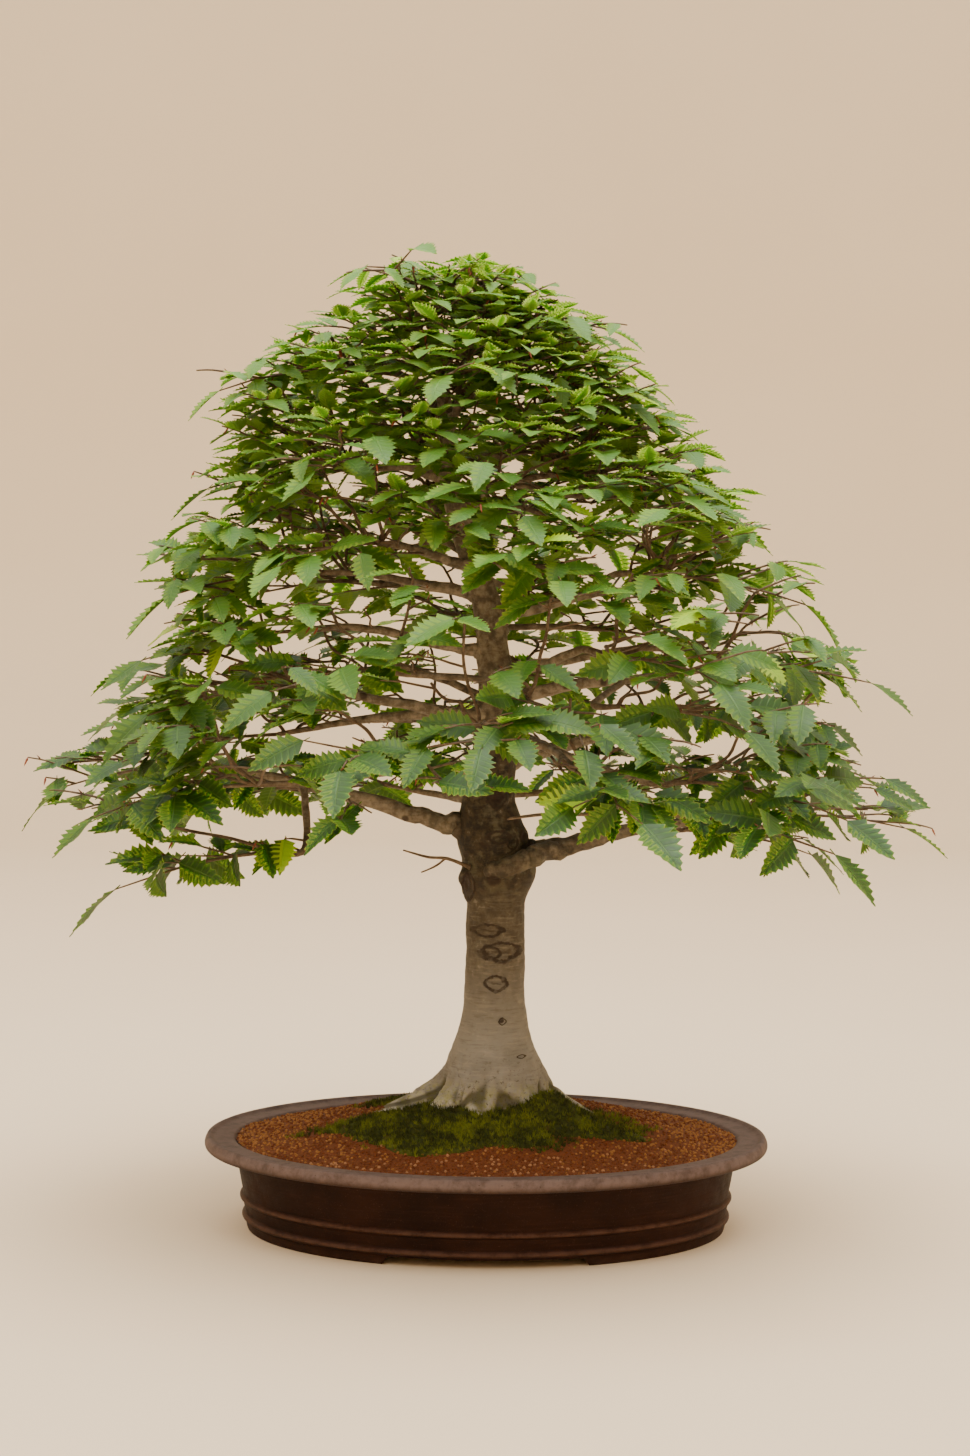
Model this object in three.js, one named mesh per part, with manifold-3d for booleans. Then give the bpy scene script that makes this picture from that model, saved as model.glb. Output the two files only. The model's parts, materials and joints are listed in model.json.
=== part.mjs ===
// Japanese beech bonsai in a shallow oval pot.
// Millimetres, +Z up, +X to the right of its front, +Y to its back.
// The tree is laid out round the middle of the pot; the group is then moved so that
// the middle of the whole object's box is over the origin, with the feet at z = 0.
import * as THREE from 'three';
import { mergeVertices } from 'three/addons/utils/BufferGeometryUtils.js';
import Module from 'manifold-3d';

const wasm = await Module();
wasm.setup();

// Clearance between solids that touch.
const GAP = 0.3;

// The smallest step kept in a joined surface.
const FINEST = 0.05;

// The pot: half length and half width of the inside at the floor, heights and radii.
// A radius is measured along the half length, and the width follows it.
const POT = {
  halfLength: 237,
  halfWidth: 157,
  sides: 30,
  floorUnder: 9,
  floorTop: 18,
  height: 93.5,
  footInner: 228,
  footOuter: 239.5,
  bodyLow: 241,
  bodyHigh: 250,
  beadProud: 2.8,
  lowerBead: 13.5,
  upperBead: 32.5,
  beadHalf: 3,
  rimUnder: 79.5,
  rimNose: 282,
  rimNoseHeight: 86,
  lip: 276.5,
  rimInner: 252,
  rimTop: 90.8,
  notchLength: 190,
  notchHeight: 8.6,
};

const DRAIN = {
  places: [-108, 108],
  radius: 14,
  sides: 12,
  screenSide: 44,
  screenThick: 1.2,
  meshHole: 14,
  meshPitch: 19,
};

// The mound of soil: radius along the half length, height of the top.
const SOIL = {
  edgeHeight: 88.4,
  mound: [[228, 92], [180, 103], [125, 115]],
  crown: 134,
  relief: 1.4,
};

// The moss cushion: a lobed patch on the mound, front and sides of the trunk.
const MOSS = {
  middle: [-12, -72],
  reach: [150, 50],
  sides: 20,
  // Share of the patch's reach, height above the mound.
  profile: [[1.02, -6], [0.97, 4], [0.6, 8.5]],
};

// The root flare: core radius by height, and the surface roots.
// A root: direction in degrees, how far it reaches, half angle of its ridge in degrees.
const FLARE = {
  sides: 30,
  core: [[100, 70], [113, 67], [124, 63], [134, 59], [144, 55.5], [154, 52.5], [168, 46]],
  rootsFrom: 160,
  rootsFullAt: 112,
  power: 2.1,
  middle: 7,
};
const ROOTS = [
  [180, 142, 15], [226, 96, 17], [262, 86, 13], [312, 92, 16],
  [352, 118, 15], [38, 98, 17], [88, 84, 15], [136, 104, 16],
];

// The trunk above the flare: height, middle in X, radius.
const TRUNK = [
  [164, 7, 48], [183, 6.6, 40.5], [200, 6.8, 34.6], [222, 7.2, 30.6],
  [272, 8, 29.5], [326, 8, 29.5], [350, 9, 35.5], [370, 9, 34],
  [396, 5, 33], [426, 0, 27], [462, 3, 22], [508, 8, 18.5],
  [568, 5, 16], [628, -3, 14], [690, -26, 12], [748, -43, 10], [808, -44, 8],
  [862, -52, 5.5], [902, -57, 3.6],
];
const TRUNK_SIDES = 10;
const TRUNK_LEAN_Y = 6;

// The outline of the crown: height, reach to the left, reach to the right.
const CROWN = [
  [340, 330, 330], [380, 400, 405], [430, 440, 455], [480, 462, 440], [530, 410, 420],
  [590, 374, 400], [640, 360, 360], [690, 348, 335], [750, 300, 290], [800, 296, 232],
  [850, 276, 182], [900, 205, 145], [950, 150, 60], [975, 90, 10],
];
const CROWN_DEPTH = 0.8;
const CROWN_MIDDLE = [-4, 0, 560];

// The main branches: height on the trunk, direction in degrees (0 to the right, 90 to
// the back), height of the outermost leaves, radius where it leaves the trunk, and the
// turn and drop of each spray that it carries.
const BRANCHES = [
  [364, 356, 410, 12, [[-30, 24], [0, 0], [27, -4]]],
  [390, 177, 458, 11, [[-27, -20], [0, 12], [20, -74]]],
  [408, 86, 430, 9, [[-32, 6], [30, 0]]],
  [446, 232, 448, 8, [[-24, 6], [14, 50]]],
  [462, 34, 510, 9, [[0, 0]]],
  [478, 300, 462, 8, [[-32, 46], [-4, 0], [26, -8]]],
  [494, 134, 512, 8, [[-28, 0], [18, -12]]],
  [508, 192, 550, 8, [[-20, 4], [16, -8]]],
  [528, 334, 548, 8, [[-22, -10], [16, 10]]],
  [550, 262, 560, 7, [[-26, 0], [22, -16]]],
  [582, 74, 612, 7, [[-30, 0], [28, 10]]],
  [608, 8, 648, 7, [[-24, 6], [20, -6]]],
  [634, 168, 654, 7, [[-18, -6], [30, 12]]],
  [660, 248, 666, 6.5, [[-24, 6], [34, -10]]],
  [700, 92, 728, 6, [[-34, 0], [32, 10]]],
  [722, 342, 748, 6, [[-20, 4], [34, -8]]],
  [746, 198, 772, 6, [[-26, 0], [34, 6]]],
  [790, 118, 840, 5, [[0, 0]]],
  [806, 290, 830, 5, [[-24, 0], [40, 10]]],
  [834, 190, 868, 4.5, [[0, 0]]],
  [850, 46, 898, 4.5, [[0, 0]]],
  [872, 240, 922, 4, [[0, 0]]],
];
// Thinner branches whose sprays fill the dome between the main ones, in rows as above.
const DOME_BRANCHES = [
  [518, 105, 556, 7, [[-33, -6], [33, 6]]],
  [556, 342, 580, 6.5, [[-30, 6], [30, -6]]],
  [572, 194, 598, 6.5, [[0, 0]]],
  [644, 96, 670, 6, [[-24, -24], [24, 24]]],
  [704, 276, 730, 5.5, [[0, 0]]],
  [758, 48, 790, 5, [[0, 0]]],
  [862, 354, 898, 4, [[0, 0]]],
];
const SHORT_BRANCHES_FROM = 690;
const TOP_SPRAY_SIZE = 0.45;
const BRANCH_SIDES = 4;
const SIDE_BRANCH_SIDES = 3;
const SPRAY_LENGTH = 150;
// Twigs are square in section. A leaf or a side twig grows from one wall of a short
// knuckle, which reaches this far before and behind the joint.
const KNUCKLE = 2.2;
const ZIGZAG = 4.5;
const TWIG_RADII = [2.2, 2, 1.8, 1.6, 1.3];
const SIDE_TWIG_RADII = [1.6, 1.4, 1.2];
const SPRAY_TIP_REACH = 176;

// A leaf: its length, its shape and how it hangs.
const LEAF = {
  shortest: 54,
  longest: 72,
  widthShare: 0.64,
  thick: 1.6,
  fold: 0.24,
  droop: 0.2,
  middleShare: 0.45,
  // How much the upper face looks out of the crown, against straight up.
  facing: 1.1,
  // Share of the length and share of the half width, from the base to the tip.
  edge: [[0.2, 0.72], [0.46, 0.94], [0.75, 0.6]],
};
// What a leaf or a spray tries in turn when its place is taken: changes to how far it
// hangs down, swings round and rises.
const HANG_TRIES = [0, -0.25, 0.25, -0.5, 0.5, -0.75, 0.75, 1];
const SWING_TRIES = [0, 0.16, -0.16, 0.3, -0.3, 0.42, -0.42];
const RISE_TRIES = [0, 0.1, -0.1, 0.2, -0.2, 0.32, -0.32];

const radians = THREE.MathUtils.degToRad;
const vector = (x, y, z) => new THREE.Vector3(x, y, z);
const along = (a, b, share) => a.clone().lerp(b, share);

// A repeatable number from 0 to 1 for the branch, twig or leaf with these numbers.
function chance(...keys) {
  let mixed = 0x9e3779b9;
  for (const key of keys) {
    mixed = Math.imul(mixed ^ (key + 0x7f4a7c15), 0x85ebca6b);
    mixed ^= mixed >>> 13;
    mixed = Math.imul(mixed, 0xc2b2ae35);
    mixed ^= mixed >>> 16;
  }
  return (mixed >>> 0) / 4294967296;
}

const spread = (low, high, ...keys) => low + (high - low) * chance(...keys);

// A value read off a table of rows that start with the height, with straight steps.
function readTable(table, height, column) {
  if (height <= table[0][0]) return table[0][column];
  for (let row = 1; row < table.length; row += 1) {
    const [low, high] = [table[row - 1], table[row]];
    if (height <= high[0]) {
      const share = (height - low[0]) / (high[0] - low[0]);
      return low[column] + (high[column] - low[column]) * share;
    }
  }
  return table[table.length - 1][column];
}

// Solids and geometry.

function solidOf(geometry) {
  const bare = geometry.clone();
  bare.deleteAttribute('normal');
  bare.deleteAttribute('uv');
  const merged = mergeVertices(bare, 1e-4);
  return new wasm.Manifold(new wasm.Mesh({
    numProp: 3,
    vertProperties: new Float32Array(merged.attributes.position.array),
    triVerts: new Uint32Array(merged.index.array),
  }));
}

function geometryOf(solid) {
  const { vertProperties, triVerts } = solid.getMesh();
  const geometry = new THREE.BufferGeometry();
  geometry.setAttribute('position', new THREE.BufferAttribute(vertProperties, 3));
  geometry.setIndex(new THREE.BufferAttribute(triVerts, 1));
  geometry.computeVertexNormals();
  return geometry;
}

function geometryFrom(points, faces) {
  const geometry = new THREE.BufferGeometry();
  geometry.setFromPoints(points);
  geometry.setIndex(faces.flat());
  return geometry;
}

// A closed skin over rings of points that all turn the same way round the path.
function loft(rings) {
  const sides = rings[0].length;
  const points = rings.flat();
  const faces = [];
  for (let ring = 0; ring < rings.length - 1; ring += 1) {
    for (let side = 0; side < sides; side += 1) {
      const next = (side + 1) % sides;
      const [a, b] = [ring * sides + side, ring * sides + next];
      const [c, d] = [a + sides, b + sides];
      faces.push([a, b, d], [a, d, c]);
    }
  }
  const ends = [rings[0], rings[rings.length - 1]];
  ends.forEach((ring, end) => {
    const middle = points.length;
    const start = end === 0 ? 0 : (rings.length - 1) * sides;
    const sum = ring.reduce((total, point) => total.add(point), vector(0, 0, 0));
    points.push(sum.divideScalar(sides));
    for (let side = 0; side < sides; side += 1) {
      const [a, b] = [start + side, start + (side + 1) % sides];
      faces.push(end === 0 ? [middle, b, a] : [middle, a, b]);
    }
  });
  return solidOf(geometryFrom(points, faces));
}

// One body from several that reach into each other, without the slivers of the join.
function fused(solids) {
  return wasm.Manifold.union(solids).simplify(FINEST);
}

// A limb: a tapered tube with few sides along a path of points.
function limb(path, radii, sides) {
  const whole = path[path.length - 1].clone().sub(path[0]).normalize();
  const steady = Math.abs(whole.z) > 0.85 ? vector(1, 0, 0) : vector(0, 0, 1);
  const rings = path.map((point, step) => {
    const before = path[Math.max(step - 1, 0)];
    const after = path[Math.min(step + 1, path.length - 1)];
    const ahead = after.clone().sub(before).normalize();
    const across = ahead.clone().cross(steady).normalize();
    const over = across.clone().cross(ahead).normalize();
    return Array.from({ length: sides }, (_, side) => {
      const turn = -(side / sides) * 2 * Math.PI;
      return point.clone()
        .addScaledVector(across, Math.cos(turn) * radii[step])
        .addScaledVector(over, Math.sin(turn) * radii[step]);
    });
  });
  return loft(rings);
}

// Pot, screens and soil: turned shapes drawn out to an oval.

function toOval(geometry) {
  const position = geometry.attributes.position;
  for (let index = 0; index < position.count; index += 1) {
    const radius = Math.hypot(position.getX(index), position.getZ(index));
    const turn = Math.atan2(position.getZ(index), position.getX(index));
    const inside = Math.min(radius / POT.halfLength, 1);
    const outside = Math.max(radius - POT.halfLength, 0);
    const normal = vector(
      POT.halfWidth * Math.cos(turn), POT.halfLength * Math.sin(turn), 0,
    ).normalize();
    position.setXYZ(
      index,
      POT.halfLength * inside * Math.cos(turn) + normal.x * outside,
      POT.halfWidth * inside * Math.sin(turn) + normal.y * outside,
      position.getY(index),
    );
  }
  return geometry;
}

// A profile turned round the upright axis and drawn out, with its faces looking out.
function turnedOval(profile) {
  const points = profile.map(([radius, height]) => new THREE.Vector2(radius, height));
  const turned = new THREE.LatheGeometry(points, POT.sides);
  const oval = toOval(turned);
  const solid = solidOf(oval);
  if (solid.volume() > 0) return solid;
  const index = oval.index.array;
  for (let face = 0; face < index.length; face += 3) {
    [index[face + 1], index[face + 2]] = [index[face + 2], index[face + 1]];
  }
  return solidOf(oval);
}

function bead(height, radius) {
  return [
    [radius, height - POT.beadHalf],
    [radius + POT.beadProud, height],
    [radius, height + POT.beadHalf],
  ];
}

// The inside of the pot, from the floor to the inner edge of the rim.
const potInside = [
  [POT.footInner, POT.floorTop], [POT.halfLength, POT.floorTop + 6],
  [POT.halfLength + 2, 66], [POT.rimInner - 2, 87],
];

function makePot() {
  const profile = [
    [0, POT.floorUnder], [POT.footInner, POT.floorUnder], [POT.footInner, 0],
    [POT.footOuter, 0], [POT.bodyLow, POT.floorUnder],
    ...bead(POT.lowerBead, POT.bodyLow + 0.4), ...bead(POT.upperBead, POT.bodyLow + 2.6),
    [POT.bodyHigh, 72], [POT.bodyHigh + 3, POT.rimUnder],
    [POT.rimNose - 2.5, POT.rimUnder + 1], [POT.rimNose, POT.rimNoseHeight],
    [POT.lip + 2, POT.height - 0.5], [POT.lip - 1.5, POT.height],
    [POT.lip - 5, POT.height - 2.2], [POT.rimInner + 2, POT.rimTop],
    ...[...potInside].reverse(), [0, POT.floorTop],
  ];
  const notch = new THREE.BoxGeometry(POT.notchLength, 600, POT.notchHeight * 2);
  let pot = turnedOval(profile).subtract(solidOf(notch));
  for (const place of DRAIN.places) {
    const hole = new THREE.CylinderGeometry(DRAIN.radius, DRAIN.radius, 40, DRAIN.sides);
    hole.rotateX(Math.PI / 2).translate(place, 0, POT.floorTop);
    pot = pot.subtract(solidOf(hole));
  }
  return pot;
}

function screenBlock(place, grow) {
  const side = DRAIN.screenSide + 2 * grow;
  const block = new THREE.BoxGeometry(side, side, DRAIN.screenThick + 2 * grow);
  const height = POT.floorTop + GAP + DRAIN.screenThick / 2;
  return solidOf(block.translate(place, 0, height));
}

function makeScreen(place) {
  let screen = screenBlock(place, 0);
  for (const column of [-0.5, 0.5]) {
    for (const row of [-0.5, 0.5]) {
      const hole = new THREE.BoxGeometry(DRAIN.meshHole, DRAIN.meshHole, 20);
      hole.translate(
        place + column * DRAIN.meshPitch, row * DRAIN.meshPitch, POT.floorTop,
      );
      screen = screen.subtract(solidOf(hole));
    }
  }
  return screen;
}

// The soil's solid before anything is cut from it, raised where it is asked.
function moundSolid(raise) {
  const inside = potInside.map(([radius, height]) => [radius - GAP, height + GAP]);
  const solid = turnedOval([
    [0, POT.floorTop + GAP], ...inside, [POT.rimInner - 1.5, SOIL.edgeHeight],
    ...SOIL.mound, [0, SOIL.crown],
  ]);
  return solid.warp((point) => {
    const top = point[2] > SOIL.edgeHeight + 1;
    if (!top) return;
    const rough = Math.sin(point[0] / 17) * Math.cos(point[1] / 13);
    point[2] += SOIL.relief * rough + raise;
  });
}

// Root flare: one star-shaped outline at each height.

function flareRadius(turn, height) {
  const core = readTable(FLARE.core, height, 1);
  const down = (FLARE.rootsFrom - height) / (FLARE.rootsFrom - FLARE.rootsFullAt);
  const drawn = Math.min(Math.max(down, 0), 1) ** FLARE.power;
  let radius = core;
  for (const [direction, reach, half] of ROOTS) {
    const off = Math.atan2(
      Math.sin(turn - radians(direction)), Math.cos(turn - radians(direction)),
    );
    const ridge = Math.exp(-((off / radians(half)) ** 2));
    radius = Math.max(radius, core + (reach - core) * drawn * ridge);
  }
  return radius;
}

function flareSolid(grow) {
  const lift = grow > 0 ? 0.5 : 0;
  const rings = FLARE.core.map(([height], row) => {
    const floor = row === 0 ? -lift : lift;
    return Array.from({ length: FLARE.sides }, (_, side) => {
      const turn = (side / FLARE.sides) * 2 * Math.PI;
      const radius = flareRadius(turn, height) + grow;
      return vector(
        FLARE.middle + radius * Math.cos(turn), radius * Math.sin(turn), height + floor,
      );
    });
  });
  return loft(rings);
}

function makeSoil() {
  let soil = moundSolid(0).subtract(flareSolid(GAP + 0.2));
  for (const place of DRAIN.places) soil = soil.subtract(screenBlock(place, GAP));
  return soil;
}

function largestBody(solid) {
  return solid.decompose().sort((a, b) => b.volume() - a.volume())[0];
}

// A cushion whose lobed outline is set down on the mound and cut clear of the wood.
function makeMoss() {
  const [middleX, middleY] = MOSS.middle;
  const rings = MOSS.profile.map(([share, lift]) => (
    Array.from({ length: MOSS.sides }, (_, side) => {
      const turn = (side / MOSS.sides) * 2 * Math.PI;
      const lobed = share * (1 + 0.1 * Math.sin(3 * turn + 1) + 0.07 * Math.cos(7 * turn));
      const x = middleX + MOSS.reach[0] * lobed * Math.cos(turn);
      const y = middleY + MOSS.reach[1] * lobed * Math.sin(turn);
      const radius = Math.hypot(x, (y * POT.halfLength) / POT.halfWidth);
      return vector(x, y, soilTop(radius) + lift);
    })
  ));
  return largestBody(loft(rings).subtract(moundSolid(GAP)).subtract(flareSolid(GAP + 0.2)));
}

// The height of the mound at a radius measured along the half length.
function soilTop(radius) {
  const rows = [...SOIL.mound, [0, SOIL.crown]].reverse();
  return readTable(rows, radius, 1);
}

// Trunk.

function trunkPoint(height) {
  const back = TRUNK_LEAN_Y * Math.sin((height - 164) / 90);
  return vector(readTable(TRUNK, height, 1), back, height);
}

function makeTrunk() {
  const rings = TRUNK.map(([height, , radius], row) => {
    const middle = trunkPoint(height);
    return Array.from({ length: TRUNK_SIDES }, (_, side) => {
      const turn = (side / TRUNK_SIDES) * 2 * Math.PI;
      const uneven = radius * spread(0.95, 1.04, 1, row, side);
      return middle.clone().add(vector(
        uneven * Math.cos(turn), uneven * Math.sin(turn), 0,
      ));
    });
  });
  return loft(rings);
}

// The crown's reach in one direction at one height.
function crownReach(turn, height) {
  const left = readTable(CROWN, height, 1);
  const right = readTable(CROWN, height, 2);
  const side = (1 + Math.cos(turn)) / 2;
  const width = left + (right - left) * side;
  return width / Math.hypot(Math.cos(turn), Math.sin(turn) / CROWN_DEPTH);
}

// A path that leaves one point in one direction and bends to another point.
function bend(from, heading, to, steps) {
  const length = from.distanceTo(to);
  const hold = from.clone().addScaledVector(heading, length * 0.45);
  return Array.from({ length: steps + 1 }, (_, step) => {
    const share = step / steps;
    return along(along(from, hold, share), along(hold, to, share), share);
  });
}

function taper(first, last, count) {
  return Array.from({ length: count }, (_, step) => first + ((last - first) * step) / (count - 1));
}

// One main branch with its side branches, as paths, and the starts of its sprays.
function growBranch(row, number) {
  const [height, direction, leafHeight, radius, sprays] = row;
  const root = trunkPoint(height);
  const starts = sprays.map(([turn, drop], place) => {
    const facing = radians(direction + turn);
    const level = leafHeight + drop + spread(-12, 12, 14, number, place);
    const reach = crownReach(facing, level);
    const size = Math.min(1, 0.55 + reach / 800);
    const inward = Math.max(reach - SPRAY_TIP_REACH * size, reach * 0.34);
    const outward = vector(Math.cos(facing), Math.sin(facing), 0);
    const point = vector(0, 0, level - 4).addScaledVector(outward, inward);
    point.x += CROWN_MIDDLE[0] + (root.x - CROWN_MIDDLE[0]) * Math.max(0, (level - 700) / 250);
    return { point, outward, size, number: number * 4 + place };
  });
  const lead = starts.reduce((best, start, place) => (
    Math.abs(sprays[place][0]) < Math.abs(sprays[best][0]) ? place : best
  ), 0);
  const leave = vector(Math.cos(radians(direction)), Math.sin(radians(direction)), 0.25);
  const steps = height > SHORT_BRANCHES_FROM ? 2 : 3;
  const path = bend(root, leave.normalize(), starts[lead].point, steps);
  path.forEach((point, step) => {
    if (step === 0 || step === steps) return;
    point.x += spread(-9, 9, 2, number, step);
    point.y += spread(-9, 9, 3, number, step);
    point.z += spread(-6, 8, 4, number, step);
  });
  const tip = 2.6;
  const limbs = [{ path, radii: taper(radius, tip, steps + 1), sides: BRANCH_SIDES }];
  starts.forEach((start, place) => {
    const heading = start.point.clone();
    let from = path[steps];
    let before = path[steps - 1];
    if (place !== lead) {
      const fork = place % 2 === 0 ? steps - 1 : 1;
      from = path[fork];
      const ahead = path[fork + 1].clone().sub(from).normalize();
      const length = from.distanceTo(start.point);
      const elbow = start.point.clone().addScaledVector(start.outward, -0.42 * length);
      elbow.addScaledVector(ahead, 0.06 * length);
      const side = [from, elbow, start.point];
      const thick = radius + ((tip - radius) * fork) / steps;
      limbs.push({ path: side, radii: [thick * 0.8, 3.4, 2.4], sides: SIDE_BRANCH_SIDES });
      before = side[1];
    }
    start.heading = heading.sub(before).normalize();
  });
  return { limbs, starts };
}

// Boxes that stand for wood and leaves while room is looked for.

function boxOf(points, axes, owner) {
  const box = { axes, owner, half: [], middle: vector(0, 0, 0) };
  for (const axis of axes) {
    const reads = points.map((point) => point.dot(axis));
    const [low, high] = [Math.min(...reads), Math.max(...reads)];
    box.half.push((high - low) / 2);
    box.middle.addScaledVector(axis, (high + low) / 2);
  }
  box.round = Math.hypot(...box.half);
  return box;
}

function limbBoxes(path, radii, owner) {
  return path.slice(1).map((end, step) => {
    const start = path[step];
    const ahead = end.clone().sub(start).normalize();
    const { right, up } = across(ahead);
    const box = boxOf([start, end], [ahead, right, up], owner);
    box.half[1] = radii[step];
    box.half[2] = radii[step];
    box.round = Math.hypot(...box.half);
    return box;
  });
}

// Whether two turned boxes come closer than the clearance.
function boxesMeet(a, b, clear) {
  const apart = b.middle.clone().sub(a.middle);
  if (apart.length() > a.round + b.round + clear) return false;
  const crossed = a.axes.flatMap((one) => b.axes.map((two) => one.clone().cross(two)));
  for (const axis of [...a.axes, ...b.axes, ...crossed]) {
    const length = axis.length();
    if (length < 1e-6) continue;
    const reachOf = (box) => box.axes.reduce(
      (sum, own, place) => sum + Math.abs(own.dot(axis)) * box.half[place], 0,
    );
    if (Math.abs(apart.dot(axis)) > reachOf(a) + reachOf(b) + clear * length) return false;
  }
  return true;
}

// Twigs and leaves.

// Right and up across a direction, for the sections of a twig.
function across(ahead) {
  const steady = Math.abs(ahead.z) > 0.85 ? vector(0, 1, 0) : vector(0, 0, 1);
  const right = ahead.clone().cross(steady).normalize();
  return { right, up: right.clone().cross(ahead).normalize() };
}

// The twigs of a spray: a leading one that steps from leaf to leaf, and two at its sides.
function sprayTwigs(start, attempt) {
  const key = start.number;
  const swing = spread(-0.14, 0.14, 5, key) + SWING_TRIES[attempt];
  const rise = spread(-0.12, 0.06, 6, key) + RISE_TRIES[attempt];
  const ahead = start.heading.clone().multiplyScalar(0.45).addScaledVector(start.outward, 0.75);
  ahead.z = ahead.z * 0.7 + rise;
  ahead.applyAxisAngle(vector(0, 0, 1), swing).normalize();
  const { right } = across(ahead);
  const first = start.point.clone().addScaledVector(start.heading, GAP);
  const step = (SPRAY_LENGTH * start.size) / 4;
  const hand = chance(7, key) > 0.5 ? 1 : -1;
  const main = [first];
  for (let joint = 1; joint <= 4; joint += 1) {
    const point = first.clone().addScaledVector(ahead, step * joint);
    point.addScaledVector(right, (joint % 2 === 0 ? -ZIGZAG : ZIGZAG) * hand * start.size);
    point.z -= 1.6 * joint * (joint - 1);
    main.push(point);
  }
  const sides = [1, 2].map((joint) => {
    const turned = ahead.clone().multiplyScalar(0.6);
    turned.addScaledVector(right, (joint === 1 ? -0.8 : 0.8) * hand);
    turned.z += spread(-0.22, 0.34, 8, key, joint);
    turned.normalize();
    return [0.9, 1.7].reduce((path, share) => {
      path.push(main[joint].clone().addScaledVector(turned, step * share));
      return path;
    }, [main[joint]]);
  });
  return { number: key, leave: start.heading, ahead, main, sides, hand };
}

// Each leaf's place: its twig (0 leading, 1 and 2 side), the joint, and its hand there:
// 1 to the right, -1 to the left, 0 straight on at the end of the twig.
function leafPlaces(spray) {
  const { hand } = spray;
  return [
    [0, 1, hand], [0, 2, -hand], [0, 3, hand], [0, 4, 0],
    [1, 1, -hand], [1, 2, 0], [2, 1, hand], [2, 2, 0],
  ];
}

function pathOf(spray, twig) {
  return twig === 0 ? spray.main : spray.sides[twig - 1];
}

// How a leaf faces: tip down and outward, upper face up and out of the crown.
function hangLeaf(spray, place, attempt) {
  const [twig, joint, hand] = leafPlaces(spray)[place];
  const path = pathOf(spray, twig);
  const forward = path[joint].clone().sub(path[joint - 1]).normalize();
  const { right } = across(forward);
  const key = [spray.number, place];
  const open = Math.abs(hand) * spread(1.05, 1.3, 9, ...key);
  const ahead = forward.clone().multiplyScalar(Math.cos(open));
  ahead.addScaledVector(right, Math.sin(open) * hand);
  ahead.z -= spread(0.1, 0.6, 10, ...key) + HANG_TRIES[attempt];
  ahead.normalize();
  const base = path[joint].clone().addScaledVector(right, 1.2 * hand);
  const out = base.clone().sub(vector(...CROWN_MIDDLE)).normalize();
  const up = vector(0, 0, 1).addScaledVector(out, LEAF.facing);
  up.x += spread(-0.35, 0.35, 11, ...key);
  up.y += spread(-0.35, 0.35, 12, ...key);
  up.addScaledVector(ahead, -up.dot(ahead)).normalize();
  const length = spread(LEAF.shortest, LEAF.longest, 13, ...key) * (1 - 0.03 * attempt);
  return { twig, joint, hand, base, ahead, up, length };
}

// The points of a blade: its rim from the right of the base round the tip to the left,
// and one point above and one below the middle.
function leafPoints({ base, ahead, up, length }) {
  const right = ahead.clone().cross(up).normalize();
  const half = (length * LEAF.widthShare) / 2;
  const place = (share, width, lift) => base.clone()
    .addScaledVector(ahead, length * share)
    .addScaledVector(right, half * width)
    .addScaledVector(up, lift + half * Math.abs(width) * LEAF.fold
      - length * LEAF.droop * share * share);
  const rightEdge = LEAF.edge.map(([share, width]) => place(share, width, 0));
  const leftEdge = LEAF.edge.map(([share, width]) => place(share, -width, 0)).reverse();
  return {
    rim: [...rightEdge, place(1, 0, 0), ...leftEdge],
    over: place(LEAF.middleShare, 0, LEAF.thick / 2),
    under: place(LEAF.middleShare, 0, -LEAF.thick / 2),
    right,
  };
}

function leafBox(leaf, owner) {
  const { rim, over, under, right } = leafPoints(leaf);
  const tip = rim[(rim.length - 1) / 2];
  const chord = tip.clone().sub(leaf.base).normalize();
  const thin = right.clone().cross(chord).normalize();
  return boxOf([leaf.base, ...rim, over, under], [chord, right, thin], owner);
}

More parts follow.
